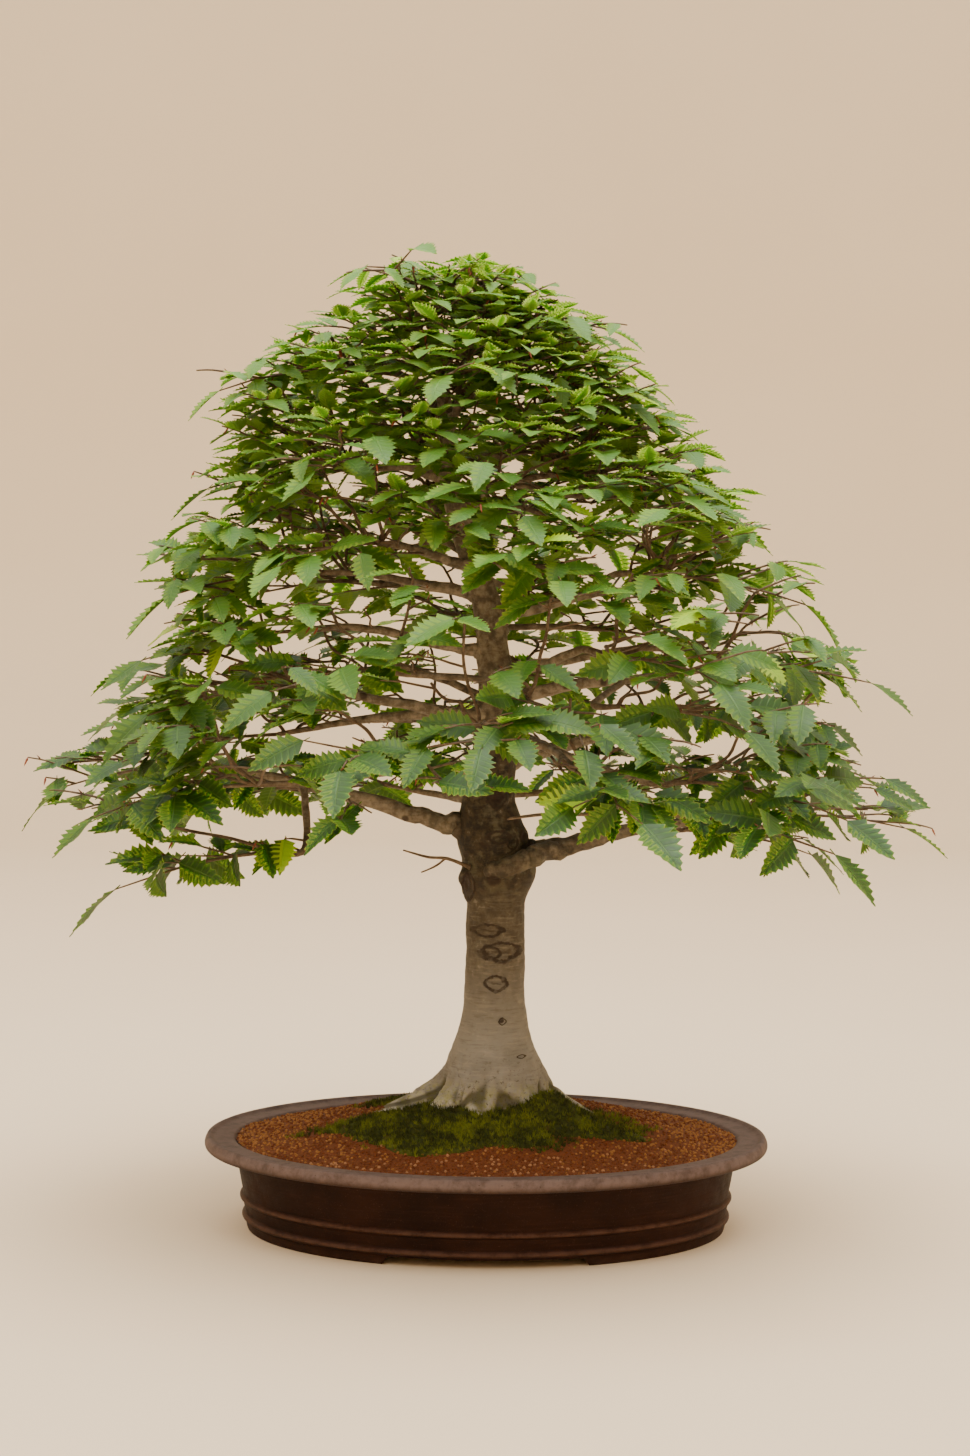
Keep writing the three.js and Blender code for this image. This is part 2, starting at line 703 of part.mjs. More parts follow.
// A skin that grows from hole to hole. A hole is a loop of four points that the next
// piece closes or carries on.
class Skin {
  constructor() {
    this.points = [];
    this.faces = [];
  }

  add(...points) {
    return points.map((point) => this.points.push(point) - 1);
  }

  // Four corners across a direction: right and up, right and down, left and down, left and up.
  ring(middle, ahead, radius) {
    const { right, up } = across(ahead);
    const corners = [[1, 1], [1, -1], [-1, -1], [-1, 1]].map(([x, y]) => middle.clone()
      .addScaledVector(right, x * radius * Math.SQRT1_2)
      .addScaledVector(up, y * radius * Math.SQRT1_2));
    return this.add(...corners);
  }

  // The hole's points, from the one that lies furthest to the right and up.
  turned(hole, right, up) {
    const middle = vector(0, 0, 0);
    hole.forEach((index) => middle.addScaledVector(this.points[index], 0.25));
    const aims = [[1, 1], [1, -1], [-1, -1], [-1, 1]];
    const fit = (shift) => aims.reduce((sum, [x, y], place) => {
      const from = this.points[hole[(place + shift) % 4]].clone().sub(middle);
      return sum + x * from.dot(right) + y * from.dot(up);
    }, 0);
    const best = [0, 1, 2, 3].reduce((a, b) => (fit(b) > fit(a) ? b : a));
    return hole.map((_, place) => hole[(place + best) % 4]);
  }

  // Walls from a hole to the next ring, with some walls left open as new holes.
  walls(hole, ring, open = []) {
    const left = [];
    hole.forEach((a, side) => {
      const [b, c, d] = [hole[(side + 1) % 4], ring[(side + 1) % 4], ring[side]];
      if (open.includes(side)) left.push([a, b, c, d]);
      else this.faces.push([a, b, c], [a, c, d]);
    });
    return left;
  }

  cap([a, b, c, d]) {
    this.faces.push([a, b, c], [a, c, d]);
  }

  leaf(hole, leaf) {
    const { rim, over, under, right } = leafPoints(leaf);
    const [tr, br, bl, tl] = this.turned(hole, right, leaf.up);
    const edge = this.add(...rim);
    const [top, bottom] = this.add(over, under);
    const [first, last] = [edge[0], edge[edge.length - 1]];
    this.faces.push([tr, br, first], [bl, tl, last]);
    const upper = [tl, tr, ...edge, tl];
    const lower = [bl, ...[...edge].reverse(), br, bl];
    for (let step = 1; step < upper.length; step += 1) {
      this.faces.push([upper[step - 1], upper[step], top]);
      this.faces.push([lower[step - 1], lower[step], bottom]);
    }
  }

  solid() {
    return solidOf(geometryFrom(this.points, this.faces));
  }
}

const RIGHT_WALL = 0;
const LEFT_WALL = 2;

// One twig with its leaves, grown from a hole. A side twig grows from the wall across
// from the leaf at its joint.
function growTwig(skin, hole, spray, twig) {
  const path = pathOf(spray, twig);
  const radii = twig === 0 ? TWIG_RADII : SIDE_TWIG_RADII;
  const leafAt = (joint) => spray.leaves.find((leaf) => (
    leaf.twig === twig && leaf.joint === joint
  ));
  let end = hole;
  for (let joint = 1; joint < path.length; joint += 1) {
    const ahead = path[joint].clone().sub(path[joint - 1]).normalize();
    const { right, up } = across(ahead);
    const last = joint === path.length - 1;
    const near = path[joint].clone().addScaledVector(ahead, last ? 0 : -KNUCKLE);
    const ring = skin.ring(near, ahead, radii[joint]);
    skin.walls(skin.turned(end, right, up), ring);
    end = ring;
    const leaf = leafAt(joint);
    if (last) {
      if (leaf) skin.leaf(end, leaf);
      else skin.cap(end);
      return;
    }
    const far = path[joint].clone().addScaledVector(ahead, KNUCKLE);
    const after = skin.ring(far, ahead, radii[joint]);
    const hand = leafPlaces(spray).find(([own, at]) => own === twig && at === joint)[2];
    const leafWall = hand > 0 ? RIGHT_WALL : LEFT_WALL;
    const sideWall = hand > 0 ? LEFT_WALL : RIGHT_WALL;
    const sideTwig = twig === 0 && joint <= spray.sides.length;
    const open = [...(leaf ? [leafWall] : []), ...(sideTwig ? [sideWall] : [])];
    for (const gap of skin.walls(end, after, open)) {
      const isLeaf = leaf && gap[0] === end[leafWall];
      if (isLeaf) skin.leaf(gap, leaf);
      else growTwig(skin, gap, spray, joint);
    }
    end = after;
  }
}

function growCrown() {
  const branches = BRANCHES.map(growBranch);
  const domeBranches = DOME_BRANCHES.map((row, place) => (
    growBranch(row, BRANCHES.length + 1 + place)
  ));
  const limbs = [...branches, ...domeBranches].flatMap((branch) => branch.limbs);
  const top = TRUNK[TRUNK.length - 1];
  const topPoint = trunkPoint(top[0]);
  const crownTop = {
    point: topPoint, outward: vector(0.3, 0, 1), heading: vector(0, 0, 1),
    size: TOP_SPRAY_SIZE, number: 4 * BRANCHES.length,
  };
  const startsOf = (list) => list.flatMap((branch) => branch.starts);
  const starts = [...startsOf(branches), crownTop, ...startsOf(domeBranches)];
  const taken = limbs.flatMap(({ path, radii }) => limbBoxes(path, radii, -1));
  const trunkPath = TRUNK.map(([height]) => trunkPoint(height));
  taken.push(...limbBoxes(trunkPath, TRUNK.map((row) => row[2]), -1));
  const sprays = starts.map((start, owner) => {
    for (let attempt = 0; attempt < SWING_TRIES.length; attempt += 1) {
      const spray = sprayTwigs(start, attempt);
      const boxes = [0, 1, 2].flatMap((twig) => {
        const radii = twig === 0 ? TWIG_RADII : SIDE_TWIG_RADII;
        const own = limbBoxes(pathOf(spray, twig), radii, owner);
        own.forEach((box, step) => Object.assign(box, { twig, joint: step + 1 }));
        return own;
      });
      const free = boxes.slice(1).every((box) => (
        taken.every((other) => !boxesMeet(box, other, 2))
      ));
      if (free || attempt === SWING_TRIES.length - 1) {
        taken.push(...boxes);
        return { ...spray, owner, leaves: [] };
      }
    }
    return null;
  });
  for (const spray of sprays) {
    leafPlaces(spray).forEach((_, place) => {
      for (let attempt = 0; attempt < HANG_TRIES.length; attempt += 1) {
        const leaf = hangLeaf(spray, place, attempt);
        const box = leafBox(leaf, spray.owner);
        const free = taken.every((other) => (
          besideLeaf(leaf, other, spray) || !boxesMeet(box, other, 0.4)
        ));
        if (free) {
          taken.push(box);
          spray.leaves.push(leaf);
          return;
        }
      }
    });
  }
  return { limbs, sprays };
}

// Whether a box of wood is one of the stretches of twig that meet at the leaf's base.
function besideLeaf(leaf, other, spray) {
  if (other.owner !== spray.owner || other.twig === undefined) return false;
  const sameTwig = other.twig === leaf.twig && Math.abs(other.joint - leaf.joint - 0.5) < 1;
  const sideTwig = leaf.twig === 0 && other.twig === leaf.joint && other.joint === 1;
  return sameTwig || sideTwig;
}

function makeSpray(spray) {
  const skin = new Skin();
  const base = skin.ring(spray.main[0], spray.leave, TWIG_RADII[0]);
  skin.cap([...base].reverse());
  growTwig(skin, base, spray, 0);
  return skin.solid();
}

// The object.

const crown = growCrown();

function makeTree() {
  const branches = crown.limbs.map(({ path, radii, sides }) => limb(path, radii, sides));
  return fused([flareSolid(0), makeTrunk(), ...branches]);
}

const group = new THREE.Group();

function addPiece(name, solid, color, roughness, metalness = 0) {
  const material = new THREE.MeshStandardMaterial({
    color, roughness, metalness, flatShading: true,
  });
  const mesh = new THREE.Mesh(geometryOf(solid), material);
  mesh.name = name;
  group.add(mesh);
}

const COLOURS = {
  pot: 0x4a342c,
  screen: 0x1c1d1c,
  soil: 0x6d4a38,
  moss: 0x4f6a2b,
  bark: 0x9b948a,
  leaves: [0x5f8f34, 0x74a53c, 0x4f7d33],
};

addPiece('pot', makePot(), COLOURS.pot, 0.75);
DRAIN.places.forEach((place, number) => {
  addPiece(`drain_screen_${number + 1}`, makeScreen(place), COLOURS.screen, 0.6);
});
addPiece('soil', makeSoil(), COLOURS.soil, 0.95);
addPiece('moss', makeMoss(), COLOURS.moss, 0.95);
addPiece('trunk_and_branches', makeTree(), COLOURS.bark, 0.8);
crown.sprays.forEach((spray, place) => {
  const name = `spray_${String(place + 1).padStart(2, '0')}`;
  addPiece(name, makeSpray(spray), COLOURS.leaves[place % COLOURS.leaves.length], 0.55);
});

const box = new THREE.Box3().setFromObject(group);
const middle = box.getCenter(new THREE.Vector3());
group.position.set(-middle.x, -middle.y, 0);

export default group;
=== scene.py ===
# %% [markdown]
# # A Japanese beech in a shallow oval pot
#
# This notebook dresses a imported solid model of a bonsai: a Japanese beech in full leaf, in
# a mound of reddish grit with moss at its foot, in an unglazed brown pot. The solid model
# gives the sizes and places, and each part here gets its real surface. We start by loading
# the frame and measuring the pot, because all the sizes below are in millimetres from the
# middle of the pot's foot.

import itertools
import json
import math
from collections import defaultdict

import bmesh
import bpy
import numpy as np
from mathutils import Matrix, Vector, noise

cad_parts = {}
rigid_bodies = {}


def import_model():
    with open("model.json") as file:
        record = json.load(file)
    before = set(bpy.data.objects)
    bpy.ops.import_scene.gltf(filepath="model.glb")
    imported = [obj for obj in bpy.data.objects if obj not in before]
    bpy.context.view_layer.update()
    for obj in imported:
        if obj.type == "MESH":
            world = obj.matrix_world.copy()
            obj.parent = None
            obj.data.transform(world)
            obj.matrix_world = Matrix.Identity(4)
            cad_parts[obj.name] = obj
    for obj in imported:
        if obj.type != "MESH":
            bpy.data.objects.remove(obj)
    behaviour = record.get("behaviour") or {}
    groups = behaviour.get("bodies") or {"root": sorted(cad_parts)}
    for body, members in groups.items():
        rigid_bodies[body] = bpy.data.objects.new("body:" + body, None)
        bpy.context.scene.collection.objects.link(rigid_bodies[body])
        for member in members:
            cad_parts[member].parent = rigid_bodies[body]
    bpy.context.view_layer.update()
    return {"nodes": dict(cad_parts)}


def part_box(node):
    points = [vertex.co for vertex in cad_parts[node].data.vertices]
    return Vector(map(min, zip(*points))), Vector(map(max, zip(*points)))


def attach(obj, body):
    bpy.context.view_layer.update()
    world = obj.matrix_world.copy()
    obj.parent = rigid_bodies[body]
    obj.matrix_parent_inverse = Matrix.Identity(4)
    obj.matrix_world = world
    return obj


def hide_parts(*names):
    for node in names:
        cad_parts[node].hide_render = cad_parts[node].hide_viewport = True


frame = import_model()
pot_low, pot_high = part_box("pot")
HOME = np.array([(pot_low.x + pot_high.x) / 2, (pot_low.y + pot_high.y) / 2, 0.0])
MM = 0.001
print("pot", [round(side / MM) for side in pot_high - pot_low], "mm, middle at", HOME)

# %% [markdown]
# ## The camera
#
# The photograph was taken from about two metres away at the height of the lower leaves,
# looking down a little and leaning by a fraction of a degree, with a long lens. The camera
# comes first, so that every later step can be looked at through it.

# %% Stand the camera where the photograph was taken
IMAGE_HEIGHT = 1456
FOCAL_PIXELS = 2100
CAMERA_PLACE = (-4, -2100, 563)
LOOK_DOWN = math.radians(1.72)
LEAN = math.radians(0.4)


def stand_camera():
    """Makes the scene's camera, with the focal length worked out from the picture."""
    lens = bpy.data.cameras.new("eye")
    lens.sensor_width = 36
    lens.lens = FOCAL_PIXELS / IMAGE_HEIGHT * lens.sensor_width
    camera = bpy.data.objects.new("eye", lens)
    camera.location = HOME + np.array(CAMERA_PLACE) * MM
    turned = Matrix.Rotation(math.pi / 2 - LOOK_DOWN, 3, "X") @ Matrix.Rotation(LEAN, 3, "Z")
    camera.rotation_euler = turned.to_euler()
    bpy.context.scene.collection.objects.link(camera)
    bpy.context.scene.camera = camera
    return lens.lens


print("lens", round(stand_camera(), 1), "mm")

# %% [markdown]
# ## A short way to write node trees
#
# Finishes and growing rules are both node trees. One class holds a tree and adds any node
# in one call, and another wraps a socket, so that sums can be written as on paper.

# %% Wires and boards
def sum_with(operation, swapped=False):
    """The method behind a sign: it adds a Math node and gives back its output."""
    def method(wire, value):
        return wire.work(operation, *((value, wire) if swapped else (wire, value)))

    return method


class Wire:
    """The output of a node. A sum written with it becomes a Math node."""

    def __init__(self, board, socket):
        self.board = board
        self.socket = socket

    def work(self, operation, *values):
        return self.board.add("ShaderNodeMath", {"operation": operation}, dict(enumerate(values)))

    def other(self, output):
        """Another output of the same node."""
        return Wire(self.board, self.socket.node.outputs[output])

    def __abs__(self):
        return self.work("ABSOLUTE", self)

    __add__, __radd__ = sum_with("ADD"), sum_with("ADD", swapped=True)
    __sub__, __rsub__ = sum_with("SUBTRACT"), sum_with("SUBTRACT", swapped=True)
    __mul__, __rmul__ = sum_with("MULTIPLY"), sum_with("MULTIPLY", swapped=True)
    __pow__ = sum_with("POWER")


class Board:
    """A node tree that is being built."""

    def __init__(self, tree):
        self.tree = tree

    def add(self, kind, settings=None, sockets=None, out=0):
        """Adds a node: its settings first, then the values or wires of its sockets."""
        node = self.tree.nodes.new(kind)
        for name, value in (settings or {}).items():
            setattr(node, name, value)
        for name, value in (sockets or {}).items():
            socket = node.inputs[name]
            if isinstance(value, Wire):
                self.tree.links.new(value.socket, socket)
            else:
                socket.default_value = value
        return Wire(self, node.outputs[out]) if len(node.outputs) else node


# %% [markdown]
# A finish is a board with a Principled shader at its end. Its helpers are the few steps
# that every finish here uses: a cloudy pattern, which may be drawn out along an axis, a
# soft step from one value to another, a blend of two colours, and thin coats laid one
# over another. Patterns read a point's place in space, so they need no unwrapping.

# %% The finish board
def paint(red, green, blue):
    """A colour as it looks on a screen, 0 to 255, as the shader's own light values."""
    def to_light(part):
        part /= 255
        return part / 12.92 if part <= 0.04045 else ((part + 0.055) / 1.055) ** 2.4

    return (to_light(red), to_light(green), to_light(blue), 1.0)


class Finish(Board):
    """A material under construction."""

    def __init__(self, name, **fixed):
        self.material = bpy.data.materials.new(name)
        self.material.use_nodes = True
        super().__init__(self.material.node_tree)
        self.tree.nodes.clear()
        self.shader = self.tree.nodes.new("ShaderNodeBsdfPrincipled")
        for socket, value in fixed.items():
            self.shader.inputs[socket.replace("_", " ")].default_value = value
        output = self.tree.nodes.new("ShaderNodeOutputMaterial")
        self.tree.links.new(self.shader.outputs[0], output.inputs["Surface"])
        self.place = self.add("ShaderNodeTexCoord", out="Object")

    def parts(self, vector):
        """The three numbers of a vector."""
        split = self.add("ShaderNodeSeparateXYZ", sockets={0: vector})
        return split, split.other("Y"), split.other("Z")

    def clouds(self, size, detail=3.0, rough=0.55, scale=(1, 1, 1)):
        """A cloudy pattern from 0 to 1 whose patches are about this size in millimetres."""
        place = self.place
        if scale != (1, 1, 1):
            settings, sockets = {"vector_type": "POINT"}, {"Vector": place, "Scale": scale}
            place = self.add("ShaderNodeMapping", settings, sockets)
        return self.add("ShaderNodeTexNoise", {"noise_dimensions": "3D"}, {
            "Vector": place, "Scale": 1 / (size * MM), "Detail": detail, "Roughness": rough,
        })

    def cells(self, size):
        """How far the middle of the nearest cell is, in cells of this many millimetres."""
        return self.add("ShaderNodeTexVoronoi", {"feature": "F1"}, {
            "Vector": self.place, "Scale": 1 / (size * MM),
        })

    def step(self, value, low, high, start=0.0, end=1.0):
        """A soft step: start below low, end above high."""
        return self.add("ShaderNodeMapRange", {"interpolation_type": "SMOOTHSTEP"}, {
            "Value": value, "From Min": low, "From Max": high, "To Min": start, "To Max": end,
        })

    def blend(self, share, first, second):
        settings = {"data_type": "RGBA", "blend_type": "MIX", "clamp_factor": True}
        return self.add("ShaderNodeMix", settings, {0: share, 6: first, 7: second}, out=2)

    def tones(self, pattern, low, high, first, second):
        """One paint where a pattern is below low, another where it is above high."""
        return self.blend(self.step(pattern, low, high), paint(*first), paint(*second))

    def coats(self, colour, *layers):
        """Lays thin coats over a colour: each is its share at a place and its paint."""
        for share, coat in layers:
            colour = self.blend(share, colour, paint(*coat))
        return colour

    def attribute(self, name):
        return self.add("ShaderNodeAttribute", {"attribute_name": name}, out="Fac")

    def done(self, colour, rough=None, *bumps):
        """Sets colour, roughness and bumps, each a height from 0 to 1 and its depth in mm."""
        wires = {"Base Color": colour, "Roughness": rough, "Normal": None}
        for height, depth in bumps:
            sockets = {"Height": height, "Distance": depth * MM, "Strength": 1.0}
            if wires["Normal"]:
                sockets["Normal"] = wires["Normal"]
            wires["Normal"] = self.add("ShaderNodeBump", sockets=sockets)
        for socket, wire in wires.items():
            if wire:
                self.tree.links.new(wire.socket, self.shader.inputs[socket])
        return self.material


# %% [markdown]
# ## Making pieces
#
# A piece is a mesh whose points are given in millimetres from the middle of the pot. Its
# object stays at the origin, so a pattern that reads object coordinates lies still.

# %% Piece helpers
def mesh_of(name, points, faces, edges=()):
    mesh = bpy.data.meshes.new(name)
    placed = np.asarray(points, float).reshape(-1, 3) * MM + HOME
    mesh.from_pydata(placed.tolist(), list(edges), faces)
    mesh.update()
    return mesh


def shape_of(name, points, faces):
    """A shape about one metre long that a rule copies."""
    mesh = bpy.data.meshes.new(name)
    mesh.from_pydata([tuple(point) for point in points], [], faces)
    return mesh


def dress(mesh, material):
    mesh.materials.clear()
    mesh.materials.append(material)


def show(name, mesh, material=None):
    """Puts a mesh in the scene as an object at the origin."""
    piece = bpy.data.objects.new(name, mesh)
    bpy.context.scene.collection.objects.link(piece)
    if material is not None:
        dress(mesh, material)
    return piece


def smooth(mesh, sharpest=40):
    mesh.shade_smooth()
    mesh.set_sharp_from_angle(angle=math.radians(sharpest))


def hand_over(piece, slot, *nodes):
    """Lets a finished piece ride on the model and stand for the nodes that it replaces."""
    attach(piece, "root")
    if nodes:
        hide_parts(*nodes)
    piece.data.calc_loop_triangles()
    print(piece.name, len(piece.data.loop_triangles), "triangles")


def give(mesh, name, values, kind="FLOAT"):
    """Stores one value for each point of a mesh under a name."""
    attribute = mesh.attributes.new(name, kind, "POINT")
    attribute.data.foreach_set("value", np.asarray(values).ravel())


def between_rings(rings, turns):
    """The faces that join rings of points which lie one after another in a mesh."""
    return [
        (ring + step, ring + (step + 1) % turns,
         ring + turns + (step + 1) % turns, ring + turns + step)
        for ring in range(0, (rings - 1) * turns, turns) for step in range(turns)
    ]


def as_made(piece):
    """The mesh of a piece as its modifier leaves it, without the modifier."""
    graph = bpy.context.evaluated_depsgraph_get()
    result = bpy.data.meshes.new_from_object(piece.evaluated_get(graph), depsgraph=graph)
    piece.modifiers.clear()
    return result


# %% [markdown]
# Growing rules are Geometry Nodes trees. A rule runs once on a carrier, which holds the
# points or the surface that it works on, and its result becomes a plain mesh.

# %% The rule board
class Rule(Board):
    """A Geometry Nodes tree under construction, with its sizes as named inputs."""

    def __init__(self, name, **sizes):
        super().__init__(bpy.data.node_groups.new(name, "GeometryNodeTree"))
        face = self.tree.interface
        face.new_socket("Geometry", in_out="INPUT", socket_type="NodeSocketGeometry")
        for title, (kind, value) in sizes.items():
            socket = face.new_socket(title, in_out="INPUT", socket_type="NodeSocket" + kind)
            socket.default_value = value
        face.new_socket("Geometry", in_out="OUTPUT", socket_type="NodeSocketGeometry")
        self.start = self.add("NodeGroupInput")

    def named(self, name, kind="FLOAT"):
        settings = {"data_type": kind}
        return self.add("GeometryNodeInputNamedAttribute", settings, {"Name": name})

    def store(self, geometry, name, value, domain="POINT"):
        settings = {"data_type": "FLOAT", "domain": domain}
        sockets = {"Geometry": geometry, "Name": name, "Value": value}
        return self.add("GeometryNodeStoreNamedAttribute", settings, sockets)

    def chance(self, low, high, seed):
        return self.add("FunctionNodeRandomValue", {"data_type": "FLOAT"}, {
            "Min": low, "Max": high, "Seed": seed,
        }, out="Value")

    def push(self, geometry, way, amount):
        """Moves points this far in a direction."""
        settings, sockets = {"operation": "SCALE"}, {0: way, "Scale": amount}
        offset = self.add("ShaderNodeVectorMath", settings, sockets)
        sockets = {"Geometry": geometry, "Offset": offset}
        return self.add("GeometryNodeSetPosition", sockets=sockets)

    def copies(self, shapes, points, **sockets):
        """Puts one shape of a shelf on each point."""
        library = self.add("GeometryNodeCollectionInfo", {}, {
            "Collection": shapes, "Separate Children": True, "Reset Children": True,
        })
        return self.add("GeometryNodeInstanceOnPoints", sockets={
            "Points": points, "Instance": library, "Pick Instance": True, **sockets,
        })

    def end(self, geometry, material):
        """Turns the copies into real faces, sets their finish and closes the tree."""
        real = self.add("GeometryNodeRealizeInstances", sockets={"Geometry": geometry})
        sockets = {"Geometry": real, "Material": material}
        dressed = self.add("GeometryNodeSetMaterial", sockets=sockets)
        self.add("NodeGroupOutput", sockets={0: dressed})
        return self.tree


def grow(name, carrier, tree, **sizes):
    """Runs a rule on a carrier mesh and gives back its result as a plain piece."""
    holder = show(name, carrier)
    modifier = holder.modifiers.new("rule", "NODES")
    modifier.node_group = tree
    for item in tree.interface.items_tree:
        if item.in_out == "INPUT" and item.name in sizes:
            modifier[item.identifier] = sizes[item.name]
    holder.data = as_made(holder)
    holder.data.name = name
    bpy.data.meshes.remove(carrier)
    return holder


def shelf(name, shapes):
    """A collection that holds the shapes that a rule copies."""
    collection = bpy.data.collections.new(name)
    bpy.context.scene.collection.children.link(collection)
    for number, mesh in enumerate(shapes):
        collection.objects.link(bpy.data.objects.new(f"{name}_{number}", mesh))
    return collection


def clear_shelf(collection):
    for shape in list(collection.objects):
        bpy.data.meshes.remove(shape.data)
    bpy.data.collections.remove(collection)


# %% [markdown]
# ## Sizes shared with the solid model
#
# The scene stands on the solid model, so it repeats the model's own driving sizes: the
# oval and the profile of the pot, the mound, the root flare, the trunk and the table of
# branches. Everything is in millimetres and degrees.

# %% The driving sizes
HALF_LENGTH, HALF_WIDTH = 237, 157
MOUND = [[0, 134], [125, 115], [180, 103], [228, 92], [250.5, 88.4]]
MOSS_MIDDLE, MOSS_REACH = (-12, -72), (150, 50)
FLARE_MIDDLE = 7
FLARE_CORE = [
    [100, 70], [113, 67], [124, 63], [134, 59], [144, 55.5], [154, 52.5], [168, 46],
]
# A root: direction, reach, half angle of its ridge.
ROOTS = [
    [180, 142, 15], [226, 96, 17], [262, 86, 13], [312, 92, 16],
    [352, 118, 15], [38, 98, 17], [88, 84, 15], [136, 104, 16],
]
# The trunk: height, middle in X, radius.
TRUNK = [
    [164, 7, 48], [183, 6.6, 40.5], [200, 6.8, 34.6], [222, 7.2, 30.6],
    [272, 8, 29.5], [326, 8, 29.5], [350, 9, 35.5], [370, 9, 34],
    [396, 5, 33], [426, 0, 27], [462, 3, 22], [508, 8, 18.5],
    [568, 5, 16], [628, -3, 14], [690, -26, 12], [748, -43, 10], [808, -44, 8],
    [862, -52, 5.5], [902, -57, 3.6],
]
TRUNK_LEAN = 6
# The crown: height, reach to the left, reach to the right.
CROWN = [
    [340, 330, 330], [380, 400, 405], [430, 440, 455], [480, 462, 440], [530, 410, 420],
    [590, 374, 400], [640, 360, 360], [690, 348, 335], [750, 300, 290], [800, 296, 232],
    [850, 276, 182], [900, 205, 145], [950, 150, 60], [975, 90, 10],
]
CROWN_DEPTH = 0.8
CROWN_MIDDLE = Vector((-4, 0, 560))
# A branch: height on the trunk, direction, height of its leaves, radius, and the turn
# and drop of each spray that it carries.
BRANCHES = [
    [364, 356, 410, 12, [[-30, 24], [0, 0], [27, -4]]],
    [390, 177, 458, 11, [[-27, -20], [0, 12], [20, -74]]],
    [408, 86, 430, 9, [[-32, 6], [30, 0]]],
    [446, 232, 448, 8, [[-24, 6], [14, 50]]],
    [462, 34, 510, 9, [[0, 0]]],
    [478, 300, 462, 8, [[-32, 46], [-4, 0], [26, -8]]],
    [494, 134, 512, 8, [[-28, 0], [18, -12]]],
    [508, 192, 550, 8, [[-20, 4], [16, -8]]],
    [528, 334, 548, 8, [[-22, -10], [16, 10]]],
    [550, 262, 560, 7, [[-26, 0], [22, -16]]],
    [582, 74, 612, 7, [[-30, 0], [28, 10]]],
    [608, 8, 648, 7, [[-24, 6], [20, -6]]],
    [634, 168, 654, 7, [[-18, -6], [30, 12]]],
    [660, 248, 666, 6.5, [[-24, 6], [34, -10]]],
    [700, 92, 728, 6, [[-34, 0], [32, 10]]],
    [722, 342, 748, 6, [[-20, 4], [34, -8]]],
    [746, 198, 772, 6, [[-26, 0], [34, 6]]],
    [790, 118, 840, 5, [[0, 0]]],
    [806, 290, 830, 5, [[-24, 0], [40, 10]]],
    [834, 190, 868, 4.5, [[0, 0]]],
    [850, 46, 898, 4.5, [[0, 0]]],
    [872, 240, 922, 4, [[0, 0]]],
]
DOME_BRANCHES = [
    [518, 105, 556, 7, [[-33, -6], [33, 6]]],
    [556, 342, 580, 6.5, [[-30, 6], [30, -6]]],
    [572, 194, 598, 6.5, [[0, 0]]],
    [644, 96, 670, 6, [[-24, -24], [24, 24]]],
    [704, 276, 730, 5.5, [[0, 0]]],
    [758, 48, 790, 5, [[0, 0]]],
    [862, 354, 898, 4, [[0, 0]]],
]
SHORT_BRANCHES_FROM = 690
SPRAY_LENGTH, SPRAY_TIP_REACH = 150, 176
ZIGZAG = 4.5
SWING_TRIES = [0, 0.16, -0.16, 0.3, -0.3, 0.42, -0.42]
RISE_TRIES = [0, 0.1, -0.1, 0.2, -0.2, 0.32, -0.32]


# %% [markdown]
# ## Numbers that look random but never change
#
# The tree has to come out the same every time, so a small hash turns the number of a
# branch, twig or leaf into a value from 0 to 1.

# %% Repeatable chance, directions and tables
WORD = 0xFFFFFFFF


def chance(*keys):
    """A repeatable number from 0 to 1 for the branch, twig or leaf with these numbers."""
    mixed = 0x9E3779B9
    for key in keys:
        mixed = ((mixed ^ (key + 0x7F4A7C15)) * 0x85EBCA6B) & WORD
        mixed ^= mixed >> 13
        mixed = (mixed * 0xC2B2AE35) & WORD
        mixed ^= mixed >> 16
    return mixed / 2**32


def spread(low, high, *keys):
    return low + (high - low) * chance(*keys)


def towards(turn, reach=1, rise=0):
    """A vector in a direction round the trunk."""
    return Vector((reach * math.cos(turn), reach * math.sin(turn), rise))


def square_to(ahead, up):
    """Up, tilted until it stands square on another direction."""
    return (up - ahead * up.dot(ahead)).normalized()


def read_table(table, height, column):
    """A value read off a table whose rows start with the height."""
    heights = [row[0] for row in table]
    return float(np.interp(height, heights, [row[column] for row in table]))


# %% [markdown]
# ## The pot
#
# The pot is turned clay, drawn out to an oval: a foot ring cut away at the front and the
# back, two raised bands, a wall that leans out a little, and a broad rim with a thin
# raised lip. The corners of its profile are cut twice, which rounds them as a wet sponge
# does, and the notches and the drain holes are cut afterwards.

# %% Turn a profile to an oval
POT_TURNS = 160


def soften(outline, times):
    """Cuts every corner of an open outline at a quarter of each side."""
    for _ in range(times):
        cut = [outline[0]]
        for before, after in zip(outline, outline[1:]):
            before, after = np.array(before, float), np.array(after, float)
            cut += [before * 0.75 + after * 0.25, before * 0.25 + after * 0.75]
        outline = cut + [outline[-1]]
    return [tuple(point) for point in outline]


def to_oval(radius, turn):
    """Where a point of the round profile comes to lie on the oval."""
    inside = min(radius / HALF_LENGTH, 1)
    outside = max(radius - HALF_LENGTH, 0)
    normal = Vector((HALF_WIDTH * math.cos(turn), HALF_LENGTH * math.sin(turn))).normalized()
    return (
        HALF_LENGTH * inside * math.cos(turn) + normal.x * outside,
        HALF_WIDTH * inside * math.sin(turn) + normal.y * outside,
    )


